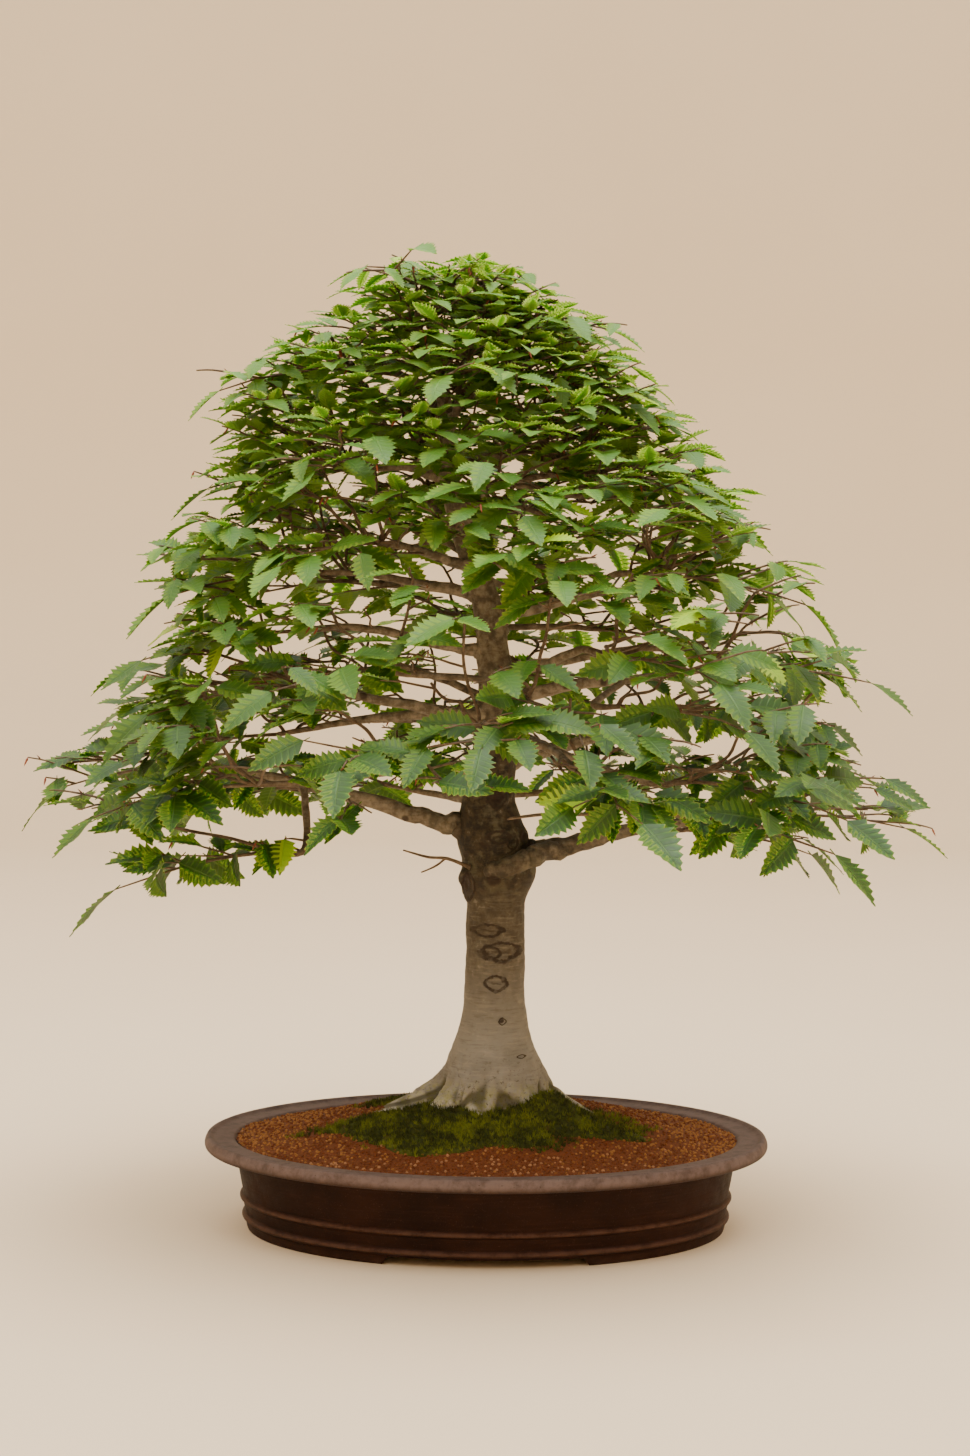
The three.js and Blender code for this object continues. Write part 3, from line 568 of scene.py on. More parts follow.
def turned(outline, turns, relief=None):
    """Points and faces of a profile turned once round; both its ends lie on the axis."""
    body = outline[1:-1]
    points, faces = [(0, 0, outline[0][1])], []
    for radius, height in body:
        for step in range(turns):
            x, y = to_oval(radius, step / turns * math.tau)
            lift = relief(x, y, height) if relief else 0
            points.append((x, y, height + lift))
    points.append((0, 0, outline[-1][1]))
    for step in range(turns):
        after = (step + 1) % turns
        faces.append((0, 1 + after, 1 + step))
        for row in range(len(body) - 1):
            low, high = 1 + row * turns, 1 + (row + 1) * turns
            faces.append((low + step, low + after, high + after, high + step))
        last = 1 + (len(body) - 1) * turns
        faces.append((last + step, last + after, len(points) - 1))
    return points, faces


# %% The pot's profile
def band(height, wall):
    """A raised band on the wall: a round bead between two tight corners."""
    steps = [(0, -4.6), (0, -3.4), (3.2, -1.6), (3.2, 1.6), (0, 3.4), (0, 4.6)]
    return [(wall + proud, height + rise) for proud, rise in steps]


BAND_HEIGHTS = (13.5, 32.5)
POT_OUTLINE = [
    (0, 9), (222, 9), (227, 9), (228, 8), (228, 1), (229, 0), (238.6, 0), (239.6, 1), (241, 8),
    *band(BAND_HEIGHTS[0], 241.4), *band(BAND_HEIGHTS[1], 243.6),
    (246.6, 52), (250, 72), (251, 77), (253.5, 79.5),
    (277, 80), (281, 81.5), (282.4, 86), (280.5, 91.5), (279, 93.4), (276.5, 93.6),
    (274.5, 92.6), (272, 91), (266, 90.6), (257, 90.8), (254, 90.6), (252, 89.6), (249, 85),
    (239, 66), (237, 24), (234, 19), (228, 18), (0, 18),
]
NOTCH_HALF, NOTCH_HEIGHT = 95, 8.6
DRAIN_PLACES, DRAIN_RADIUS = (-108, 108), 14


def cut_away(piece, points, faces):
    """Cuts a closed shape out of a piece."""
    tool = show("cutter", mesh_of("cutter", points, faces))
    modifier = piece.modifiers.new("cut", "BOOLEAN")
    modifier.operation = "DIFFERENCE"
    modifier.object = tool
    piece.data = as_made(piece)
    bpy.data.meshes.remove(tool.data)


def straight_block(outline, start, end, axis):
    """A block with this outline from start to end along an axis, 1 for Y or 2 for Z."""
    count = len(outline)
    points = [
        (a, place, b) if axis == 1 else (a, b, place) for place in (start, end) for a, b in outline
    ]
    faces = between_rings(2, count)
    faces += [tuple(reversed(range(count))), tuple(range(count, 2 * count))]
    return points, [face[::-1] for face in faces] if axis == 1 else faces


def make_pot(clay):
    points, faces = turned(soften(POT_OUTLINE, 2), POT_TURNS)
    pot = show("oval_pot", mesh_of("oval_pot", points, faces))
    low, high = NOTCH_HALF + 5, NOTCH_HALF - 2
    notch = [(-low, -4), (low, -4), (high, NOTCH_HEIGHT - 1.5), (high - 3, NOTCH_HEIGHT)]
    notch += [(3 - high, NOTCH_HEIGHT), (-high, NOTCH_HEIGHT - 1.5)]
    cut_away(pot, *straight_block(notch, -300, 300, 1))
    for place in DRAIN_PLACES:
        rim = [
            (place + DRAIN_RADIUS * math.cos(turn), DRAIN_RADIUS * math.sin(turn))
            for turn in np.linspace(0, math.tau, 48, endpoint=False)
        ]
        cut_away(pot, *straight_block(rim, 2, 30, 2))
    smooth(pot.data, 50)
    dress(pot.data, clay)
    return pot


# %% [markdown]
# Unglazed clay is never one brown. It is darker where the kiln was hotter, it carries
# fine grog, the potter's sponge leaves faint level lines, and years of watering leave a
# grey mineral haze on the rim. The tops of the two bands are lighter in patches: a
# painted highlight.

# %% Clay
def make_clay():
    clay = Finish("unglazed_clay", Specular_IOR_Level=0.1)
    height = clay.parts(clay.place)[2] * 1000
    fire = clay.clouds(70, 2)
    lines = clay.clouds(5, 3, scale=(0.12, 0.12, 2.2))
    grog = clay.clouds(1.1, 2)
    stain = clay.clouds(14, 5, 0.7)
    rim = clay.step(height, 78, 88)
    haze = rim * clay.step(stain, 0.3, 0.62, 0.45, 0.9)
    low_haze = clay.step(height, 12, 0) * clay.step(stain, 0.4, 0.7, 0.1, 0.5)
    # The tops of the two raised bands, lighter in patches: a painted highlight.
    lower, upper = (
        clay.step(abs(height - (band_height + 0.7)), 3.2, 1.2) for band_height in BAND_HEIGHTS
    )
    band_zone = upper.work("MAXIMUM", upper, lower) * clay.step(stain, 0.3, 0.6, 0.15, 0.6)
    flecks = clay.step(clay.clouds(2.6, 3), 0.66, 0.74) * rim
    colour = clay.coats(
        clay.tones(fire, 0.3, 0.7, (28, 12, 6), (42, 21, 12)),
        (clay.step(lines, 0.5, 0.8) * 0.4, (58, 35, 25)),
        (clay.step(grog, 0.62, 0.75) * 0.3, (104, 78, 64)),
        (haze, (108, 92, 86)),
        (low_haze, (74, 54, 44)),
        # A painted highlight along the tops of the two bands.
        (band_zone, (92, 66, 54)),
        (flecks * 0.6, (48, 34, 28)),
    )
    rough = clay.step(stain, 0.2, 0.8, 0.46, 0.66) + rim * 0.12
    return clay.done(colour, rough, (lines, 0.25), (grog, 0.18), (stain, 0.3))


CLAY = make_clay()
hand_over(make_pot(CLAY), "pot_clay", "pot")

# %% [markdown]
# The two drainage screens lie under the soil. The solid model's own pieces are right as
# they are, so they only get the finish of dull black moulded plastic.

# %% Screens
def make_screen_plastic():
    plastic = Finish("screen_plastic", Specular_IOR_Level=0.4)
    dust = plastic.clouds(6, 4)
    colour = plastic.tones(dust, 0.4, 0.8, (24, 25, 25), (58, 50, 44))
    return plastic.done(colour, plastic.step(dust, 0.2, 0.8, 0.45, 0.8), (dust, 0.08))


SCREEN_PLASTIC = make_screen_plastic()
for screen in ("drain_screen_1", "drain_screen_2"):
    dress(frame["nodes"][screen].data, SCREEN_PLASTIC)

# %% [markdown]
# ## The soil
#
# The grit is heaped to a mound against the trunk. Under the loose grains lies a body
# that fills the pot, turned like the pot itself and made uneven. Its top is also the
# carrier on which the grains and the moss are sown.

# %% The mound
SOIL_TURNS = 144


def soil_relief(x, y, height=100.0):
    """How uneven the mound is at a place; the part under the rim stays even."""
    if height < 86:
        return 0
    broad = math.sin(x / 17) * math.cos(y / 13) * 0.9
    fine = noise.noise(Vector((x / 9, y / 9, 3))) * 1.1
    return broad + fine


def mound_height(x, y):
    radius = math.hypot(x, y * HALF_LENGTH / HALF_WIDTH)
    return read_table(MOUND, radius, 1) + soil_relief(x, y)


def mound_rings():
    """The mound's outline from the rim to the middle, in steps of about 6 mm."""
    radii = np.linspace(250.5, 6, 42)
    return [(radius, read_table(MOUND, radius, 1)) for radius in radii]


def make_mound(grit):
    under = [(0, 18.3), (227.7, 18.3), (236.6, 24.4), (238.6, 66.3), (249, 86.5)]
    outline = under + mound_rings() + [(0, 134)]
    points, faces = turned(outline, SOIL_TURNS, soil_relief)
    mound = show("soil_mound", mesh_of("soil_mound", points, faces), grit)
    smooth(mound.data)
    return mound


def make_grit():
    grit = Finish("baked_clay_grit", Specular_IOR_Level=0.25)
    x, y, _ = grit.parts(grit.place)
    tone = grit.attribute("grain_tone")
    patch = grit.clouds(60, 3)
    fine = grit.clouds(1.6, 3)
    side = grit.step(abs(x - float(HOME[0])), 0.11, 0.23)
    golden = grit.step(tone + side * 0.42 + grit.step(patch, 0.4, 0.7) * 0.15, 0.62, 0.98)
    front = grit.step(y - float(HOME[1]), -0.118, -0.138)
    colour = grit.coats(
        grit.tones(fine, 0.3, 0.7, (84, 43, 19), (116, 65, 32)),
        (golden * 0.6, (172, 122, 66)),
        (grit.step(tone + front * 0.2, 0.985, 0.995) * 0.6, (160, 118, 88)),
        (grit.step(grit.clouds(4, 2), 0.56, 0.7) * 0.45, (72, 40, 26)),
    )
    return grit.done(colour, grit.step(fine, 0.2, 0.8, 0.82, 0.98), (fine, 0.3))


GRIT = make_grit()
hand_over(make_mound(GRIT), "soil", "soil")

# %% [markdown]
# Where moss grows is needed twice, for the moss and for the grains that leave it free,
# so one function gives it: 1 in the middle of the cushion and 0 outside. The cushion lies
# in front of the trunk and creeps round its foot between the roots.

# %% Where the moss grows
# A patch of moss: its middle, and its reach to the sides and to the back.
MOSS_PATCHES = [
    (-54, -72, 68, 38), (-116, -46, 70, 11), (26, -58, 62, 24), (116, -42, 44, 30),
    (0, -96, 16, 13), (52, -94, 30, 24), (60, -34, 40, 22),
    (-60, 66, 56, 20), (40, 78, 44, 16), (-96, 20, 30, 18),
]


def moss_share(x, y):
    """How mossy a place is, from 0 to 1, with a ragged edge."""
    ragged = noise.noise(Vector((x / 16, y / 16, 7))) * 0.26
    ragged += noise.noise(Vector((x / 5, y / 5, 1))) * 0.14
    best = 0
    for middle_x, middle_y, reach_x, reach_y in MOSS_PATCHES:
        out = math.hypot((x - middle_x) / reach_x, (y - middle_y) / reach_y)
        best = max(best, 1.25 - out + ragged)
    return min(max(best * 2.2, 0), 1)


def soil_top():
    """The top of the mound as an open sheet, and its share of moss at each point."""
    points, mossy = [], []
    for radius, height in mound_rings():
        for step in range(SOIL_TURNS):
            x, y = to_oval(radius, step / SOIL_TURNS * math.tau)
            mossy.append(moss_share(x, y))
            points.append((x, y, height + soil_relief(x, y)))
    faces = between_rings(len(points) // SOIL_TURNS, SOIL_TURNS)
    return mesh_of("soil_top", points, faces), np.float32(mossy).astype(float)


# %% [markdown]
# The grains are a few millimetres across and lie everywhere but under the moss. Thousands
# of them show, so each has only twenty faces, and Geometry Nodes sow them: a rule spreads
# points no closer than a grain, drops a crumb of grit on each, and turns and sizes it.

# %% Grains
GRAIN_SHAPES = 3


def crumb(number):
    """One broken grain: a lopsided twenty-sided lump, about one metre across."""
    work = bmesh.new()
    bmesh.ops.create_icosphere(work, subdivisions=1, radius=0.5)
    for corner in work.verts:
        key = [round(part * 100) for part in corner.co]
        corner.co *= spread(0.7, 1.2, 31, number, *key)
        corner.co.z *= 0.8
    mesh = bpy.data.meshes.new(f"crumb_{number}")
    work.to_mesh(mesh)
    work.free()
    return mesh


def sowing_rule(name, shapes, material, tilt):
    """A rule that sows copies of shapes over a surface where an attribute allows it."""
    rule = Rule(
        name, Spacing=("Float", 0.003), Smallest=("Float", 0.002), Largest=("Float", 0.004),
        Density=("Float", 100000.0), Seed=("Int", 1),
    )
    sizes = rule.start
    wanted = rule.named("sown")
    points = rule.add("GeometryNodeDistributePointsOnFaces", {"distribute_method": "POISSON"}, {
        "Mesh": sizes, "Distance Min": sizes.other("Spacing"),
        "Density Max": sizes.other("Density"), "Density Factor": wanted,
        "Seed": sizes.other("Seed"),
    }, out="Points")
    spin = rule.add("FunctionNodeRandomValue", {"data_type": "FLOAT_VECTOR"}, {
        0: (-tilt, -tilt, 0), 1: (tilt, tilt, math.tau), "Seed": 5,
    }, out="Value")
    size = rule.chance(sizes.other("Smallest"), sizes.other("Largest"), 9)
    copies = rule.copies(shapes, points, Rotation=spin, Scale=size)
    copies = rule.store(copies, "grain_tone", rule.chance(0.0, 1.0, 13), domain="INSTANCE")
    return rule.end(copies, material)


def make_grains(grit):
    carrier, mossy = soil_top()
    give(carrier, "sown", np.clip(1.0 - mossy * 1.6, 0, 1))
    shapes = shelf("grain_shapes", [crumb(number) for number in range(GRAIN_SHAPES)])
    tree = sowing_rule("sow_grains", shapes, grit, math.pi)
    grains = grow("soil_grains", carrier, tree, Spacing=0.0029, Smallest=0.0024, Largest=0.0045)
    clear_shelf(shapes)
    grains.data.shade_flat()
    return grains


hand_over(make_grains(GRIT), "soil")

# %% [markdown]
# ## The moss
#
# Moss is a cushion of thousands of tiny upright shoots. The cushion itself is a closed
# bed with a lobed edge that dips where the grit shows, and it climbs the right shoulder
# of the root flare. On it stand tufts of five pointed shoots each, which give the soft
# broken edge.

# %% Moss finish, bed and tufts
BED_TURNS, BED_RINGS = 120, 16
BED_HEIGHT = 7.0
# The underside of the bed: share of its reach, and height over the mound.
BED_UNDERSIDE = [(0.04, -5.0), (0.5, -5.0), (0.97, -5.0)]
# Where the edge dips: direction in radians, half width of the dip, and its depth.
MOSS_DIPS = [(3.66, 0.3, 0.2), (5.65, 0.32, 0.3), (4.85, 0.12, 0.08)]
# Where the moss climbs the flare: its middle, its reach to the sides and to the back.
HUMP_MIDDLE, HUMP_REACH, HUMP_HEIGHT = (62, -50), (26, 17), 19
TUFT_SHAPES = 3


def make_moss_green():
    green = Finish("moss_green", Specular_IOR_Level=0.3)
    patch = green.clouds(30, 3)
    fine = green.clouds(3, 3)
    tone = green.attribute("grain_tone")
    bright = green.step(patch + tone * 0.25, 0.5, 0.85)
    brown = green.step(green.clouds(12, 4), 0.6, 0.72)
    colour = green.coats(
        green.tones(fine, 0.3, 0.75, (34, 38, 6), (64, 72, 14)),
        (bright * 0.8, (116, 126, 26)),
        (brown * 0.5, (72, 56, 28)),
    )
    return green.done(colour, green.step(fine, 0.2, 0.8, 0.8, 0.95), (fine, 0.6))


def moss_edge(turn):
    """How far the cushion reaches in one direction, as a share of its main reach."""
    lobes = 0.1 * math.sin(3 * turn + 1) + 0.07 * math.cos(7 * turn)
    for dip, half, deep in MOSS_DIPS:
        lobes -= deep * math.exp(-(((turn - dip) / half) ** 2))
    ragged = noise.noise(towards(turn, 6, 2))
    return 0.97 + lobes + 0.05 * ragged


def moss_hump(x, y):
    """How far the moss climbs the right shoulder of the root flare, in millimetres."""
    across, back = (x - HUMP_MIDDLE[0]) / HUMP_REACH[0], (y - HUMP_MIDDLE[1]) / HUMP_REACH[1]
    return HUMP_HEIGHT * math.exp(-(across**2) - back**2)


def make_moss_bed(green):
    """A closed pillow on the mound: a domed top and a flat underside."""
    middle_x, middle_y = MOSS_MIDDLE
    levels = [(share, BED_HEIGHT * math.sqrt(max(1 - share**3, 0)))
              for share in np.linspace(1, 0.04, BED_RINGS)]
    levels = BED_UNDERSIDE + levels
    points = []
    for share, lift in levels:
        for step in range(BED_TURNS):
            turn = step / BED_TURNS * math.tau
            x = middle_x + MOSS_REACH[0] * share * moss_edge(turn) * math.cos(turn)
            y = middle_y + MOSS_REACH[1] * share * moss_edge(turn) * math.sin(turn)
            bumpy = 1.8 * noise.noise(Vector((x / 8, y / 8, 5))) if lift > 0 else 0
            if lift > 0:
                bumpy += moss_hump(x, y) * min(lift / BED_HEIGHT * 2, 1)
            points.append((x, y, mound_height(x, y) + lift + bumpy))
    faces = between_rings(len(levels), BED_TURNS)
    faces.append(tuple(reversed(range(BED_TURNS))))
    faces.append(tuple(len(points) - BED_TURNS + step for step in range(BED_TURNS)))
    bed = show("moss_bed", mesh_of("moss_bed", points, faces), green)
    smooth(bed.data, 80)
    return bed


def tuft(number):
    """Five three-sided shoots that lean out of one spot, about one metre tall."""
    points, faces = [], []
    for shoot in range(5):
        turn = shoot / 5 * math.tau + spread(-0.4, 0.4, 41, number, shoot)
        lean = spread(0.25, 0.6, 42, number, shoot)
        tall = spread(0.65, 1.0, 43, number, shoot)
        foot = towards(turn) * 0.14
        start = len(points)
        for side in range(3):
            around = turn + side / 3 * math.tau
            points.append(foot + towards(around, rise=-0.5) * 0.15)
        points.append(foot + towards(turn, lean, tall))
        a, b, c, top = range(start, start + 4)
        faces += [(a, c, b), (a, b, top), (b, c, top), (c, a, top)]
    return shape_of(f"tuft_{number}", points, faces)


def make_tufts(green, bed):
    carrier, mossy = soil_top()
    give(carrier, "sown", mossy)
    work = bmesh.new()
    work.from_mesh(carrier)
    sown = work.verts.layers.float["sown"]
    before = len(work.verts)
    work.from_mesh(bed.data)
    work.verts.ensure_lookup_table()
    for corner in work.verts[before + len(BED_UNDERSIDE) * BED_TURNS:]:
        corner[sown] = 1.0
    work.to_mesh(carrier)
    work.free()
    shapes = shelf("tuft_shapes", [tuft(number) for number in range(TUFT_SHAPES)])
    tree = sowing_rule("sow_moss", shapes, green, 0.35)
    tufts = grow("moss_tufts", carrier, tree, Spacing=0.0023, Smallest=0.0032, Largest=0.006)
    clear_shelf(shapes)
    tufts.data.shade_flat()
    return tufts


MOSS_GREEN = make_moss_green()
moss_bed = make_moss_bed(MOSS_GREEN)
hand_over(make_tufts(MOSS_GREEN, moss_bed), "moss")
hand_over(moss_bed, "moss", "moss")

# %% [markdown]
# ## The trunk
#
# An old beech trunk is smooth and pale, but never round: it swells where a branch was,
# it carries scars like eyes and dark healed wounds where branches were cut, and it spreads
# at the soil into lumpy roots with furrows between them. Each point of the trunk is found
# from its height and its direction, so all of that can be written as a radius: the flare's
# star of roots, the table of the trunk, a collar at each branch, and a relief for each
# scar, wound and furrow.

# %% The shape of the trunk
TRUNK_TURNS = 168
TRUNK_FOOT, FLARE_TOP = TRUNK[0][0], FLARE_CORE[-1][0]
# Levels of points: from, to and step, close together where the scars are.
TRUNK_LEVELS = [(100, 470, 2.2), (470, 903, 5.4)]
# The height where the ridges of the roots start, and how far below it they are full.
RIDGE_TOP, RIDGE_FALL = 160, 48
FURROW_DEPTH, TRUNK_TIP = 7.0, 3
# How far a branch's collar spreads and how high it rises, to the branch's radius.
COLLAR_SPREAD, COLLAR_RISE = 1.5, 0.42
# A scar: middle in X, height, half width, half height, depth of its relief.
SCARS = [
    (0, 299.5, 16, 6.3, 1.6), (13, 278.5, 19, 10, 2.2), (2, 277, 12, 6.5, 0.8),
    (8.5, 247, 12, 8, 1.0), (15, 210, 4, 3.4, 1.2), (34, 176, 4.5, 1.8, 0.4),
    (11, 393, 12, 6.5, 1.8), (8, 430, 9, 9, 2.4), (-19, 343, 6.5, 14, 3.4),
    (24, 388, 6, 8, 1.6),
]
# A healed wound, dark all over: middle in X, height, half width, half height.
KNOTS = [(5, 350, 8, 6), (-22, 346, 5.5, 12), (34, 393, 4, 8), (8, 432, 8, 9), (14, 211, 3, 3)]
KNOT_LIPS = 1.8


def trunk_point(height):
    back = TRUNK_LEAN * math.sin((height - TRUNK_FOOT) / 90)
    return Vector((read_table(TRUNK, height, 1), back, height))


def flare_radius(turn, height):
    """The radius of the root flare: a core with a ridge along each root."""
    core = read_table(FLARE_CORE, height, 1)
    down = min(max((RIDGE_TOP - height) / RIDGE_FALL, 0), 1) ** 2.1
    radius = core
    for direction, reach, half in ROOTS:
        bent = math.radians(direction + 7 * math.sin(height / 11 + direction))
        off = math.atan2(math.sin(turn - bent), math.cos(turn - bent))
        ridge = math.exp(-((off / math.radians(half)) ** 2))
        radius = max(radius, core + (reach - core) * down * ridge)
    return radius


def trunk_heights():
    return np.concatenate([np.arange(*levels) for levels in TRUNK_LEVELS])


def trunk_radii(heights, turns):
    """The smoothed radius for each height and direction."""
    radii = np.empty((len(heights), len(turns)))
    for row, height in enumerate(heights):
        base = read_table(TRUNK, height, 2) if height >= TRUNK_FOOT else 0
        for column, turn in enumerate(turns):
            flare = flare_radius(turn, height) if height <= FLARE_TOP else 0
            radii[row, column] = max(base, flare)
    weights = np.hanning(9)[1:-1]
    weights /= weights.sum()
    padded = np.pad(radii, ((3, 3), (0, 0)), mode="edge")
    radii = np.array([np.convolve(column, weights, "valid") for column in padded.T]).T
    padded = np.pad(radii, ((0, 0), (3, 3)), mode="wrap")
    return np.array([np.convolve(row, weights, "valid") for row in padded])


def collar(turn, height, radius):
    """How much the trunk swells at a place towards the branches that leave it there."""
    swell = 0
    for level, direction, _, thick, _ in BRANCHES + DOME_BRANCHES:
        rise = height - level
        if abs(rise) > 4 * thick:
            continue
        off = turn - math.radians(direction)
        arc = radius * math.atan2(math.sin(off), math.cos(off))
        near = (arc**2 + (rise * 0.8) ** 2) / (COLLAR_SPREAD * thick) ** 2
        swell += COLLAR_RISE * thick * math.exp(-near)
    return swell


def scar_relief(x, y, z):
    """Raised lips for each wound and scar on the front, and a sunken middle for a scar."""
    if y > 0:
        return 0
    relief = 0
    for middle, height, wide, tall, *deep in KNOTS + SCARS:
        out = math.hypot((x - middle) / wide, (z - height) / tall)
        if out >= 2:
            continue
        if deep:
            lips, hollow = math.exp(-((out - 1) / 0.28) ** 2), math.exp(-3 * out**2)
            relief += deep[0] * (0.7 * lips - 0.5 * hollow)
        else:
            relief += KNOT_LIPS * math.exp(-((out - 0.8) / 0.4) ** 2)
    return relief


def flare_crease(out, height):
    """How deep in a furrow between two roots a place of the flare is, from 0 to 1."""
    def waves(turns, rise, start=0):
        """An uneven pattern with so many waves round the trunk and this rise for each."""
        return noise.noise(Vector((out.x * turns, out.y * turns, height / rise + start)))

    low = min((FLARE_TOP - height) / 30, 1)
    patchy = min(max(0.5 + 1.6 * waves(4, 18, 3), 0), 1)
    broad = math.exp(-((waves(2.6, 60) / 0.13) ** 2))
    fine = math.exp(-((waves(7, 34, 9) / 0.15) ** 2))
    return low * max(broad, 0.7 * patchy * fine)


def flare_lumps(place, height):
    """The lumps of old bark on the roots, in millimetres."""
    low = min((FLARE_TOP - height) / 26, 1)
    return low * (2.6 * noise.noise(place / 11) + 1.2 * noise.noise(place / 4))


def make_trunk(bark):
    heights = trunk_heights()
    turns = np.linspace(0, math.tau, TRUNK_TURNS, endpoint=False)
    radii = trunk_radii(heights, turns)
    points, thickness, creases = [], [], []
    for row, height in enumerate(heights):
        middle = trunk_point(max(height, TRUNK_FOOT))
        for column, turn in enumerate(turns):
            radius = radii[row, column]
            out = towards(turn)
            place = Vector((middle.x, middle.y, height)) + out * radius
            rough = 0.030 * radius * noise.noise(place / 24) + 0.5 * noise.noise(place / 6)
            creases.append(flare_crease(out, height) if height < FLARE_TOP else 0)
            if height < FLARE_TOP:
                rough += flare_lumps(place, height) - FURROW_DEPTH * creases[-1]
            rough += collar(turn, height, radius) + scar_relief(*place)
            points.append(place + out * rough)
            thickness.append(radius)
    faces = between_rings(len(heights), TRUNK_TURNS)
    points += [Vector((FLARE_MIDDLE, 0, TRUNK_LEVELS[0][0] - 1)),
               trunk_point(TRUNK[-1][0]) + Vector((0, 0, 2))]
    thickness += [FLARE_CORE[0][1], TRUNK_TIP]
    creases += [0, 0]
    foot, top = len(points) - 2, len(points) - 1
    last = (len(heights) - 1) * TRUNK_TURNS
    for step in range(TRUNK_TURNS):
        after = (step + 1) % TRUNK_TURNS
        faces.append((foot, after, step))
        faces.append((top, last + step, last + after))
    mesh = mesh_of("trunk", points, faces)
    give(mesh, "thick", thickness)
    give(mesh, "crease", creases)
    mesh.shade_smooth()
    return show("trunk", mesh, bark)


# %% [markdown]
# Beech bark is pale grey with level wrinkles and breathing pores. It is nearly white on
# the root flare, where yellow-green lichen, moss and dark specks gather, and the furrows
# between the roots are darkened with painted shade. It browns upwards and is blotched
# where the lowest branches leave, where it is darkest with painted shade of the crown,
# and it is lighter again on the limbs. The scars are drawn as thin broken ellipses with
# a crack in the middle, the wounds as dark spots.

# %% Bark
def across_and_along(x, z, middle, height, wide, tall):
    """Where a place lies in an ellipse on the front of the trunk, in half widths of it."""
    across = (x - (float(HOME[0]) + middle * MM)) * (1 / (wide * MM))
    return across, (z - height * MM) * (1 / (tall * MM))


def scar_mark(bark, x, z, wobble, broken, scar):
    """A mask of the thin broken line round a scar and the crack in its middle."""
    across, along = across_and_along(x, z, *scar[:4])
    pointed = along * along * (1 + across * across * 1.4)
    out = (across * across + pointed) ** 0.5 + wobble
    line = bark.step(abs(out - 0.95), 0.3, 0.1) * broken
    crack = bark.step(abs(along + wobble), 0.22, 0.05) * bark.step(abs(across), 0.7, 0.2)
    return line.work("MAXIMUM", line, crack * 0.6)


def knot_mark(bark, x, z, wobble, knot):
    """A mask of a dark healed wound."""
    across, along = across_and_along(x, z, *knot)
    out = (across * across + along * along) ** 0.5 + wobble
    return bark.step(out, 1.1, 0.6)


def strongest(masks):
    """One mask that is as strong at each place as the strongest of several."""
    marks, *others = masks
    for mask in others:
        marks = marks.work("MAXIMUM", marks, mask)
    return marks


def old_wood(bark, height, broad, mottle):
    """The trunk's colour: pale at the foot, warm above, dark with painted shade at the lowest
    branches.
    """
    pale = bark.tones(broad, 0.3, 0.7, (116, 113, 106), (140, 138, 132))
    warm = bark.tones(mottle, 0.35, 0.65, (70, 61, 48), (94, 86, 72))
    # The darkest brown is painted shade of the crown on the trunk where the lowest branches leave.
    shaded_wood = bark.tones(mottle, 0.38, 0.62, (28, 22, 13), (62, 52, 36))
    inner = bark.tones(mottle, 0.36, 0.64, (82, 72, 58), (132, 120, 100))
    shaded_wood = bark.blend(bark.step(height, 450, 570), shaded_wood, inner)
    colour = bark.blend(bark.step(height + broad * 90, 215, 345), pale, warm)
    return bark.blend(bark.step(height + broad * 70, 330, 404), colour, shaded_wood)


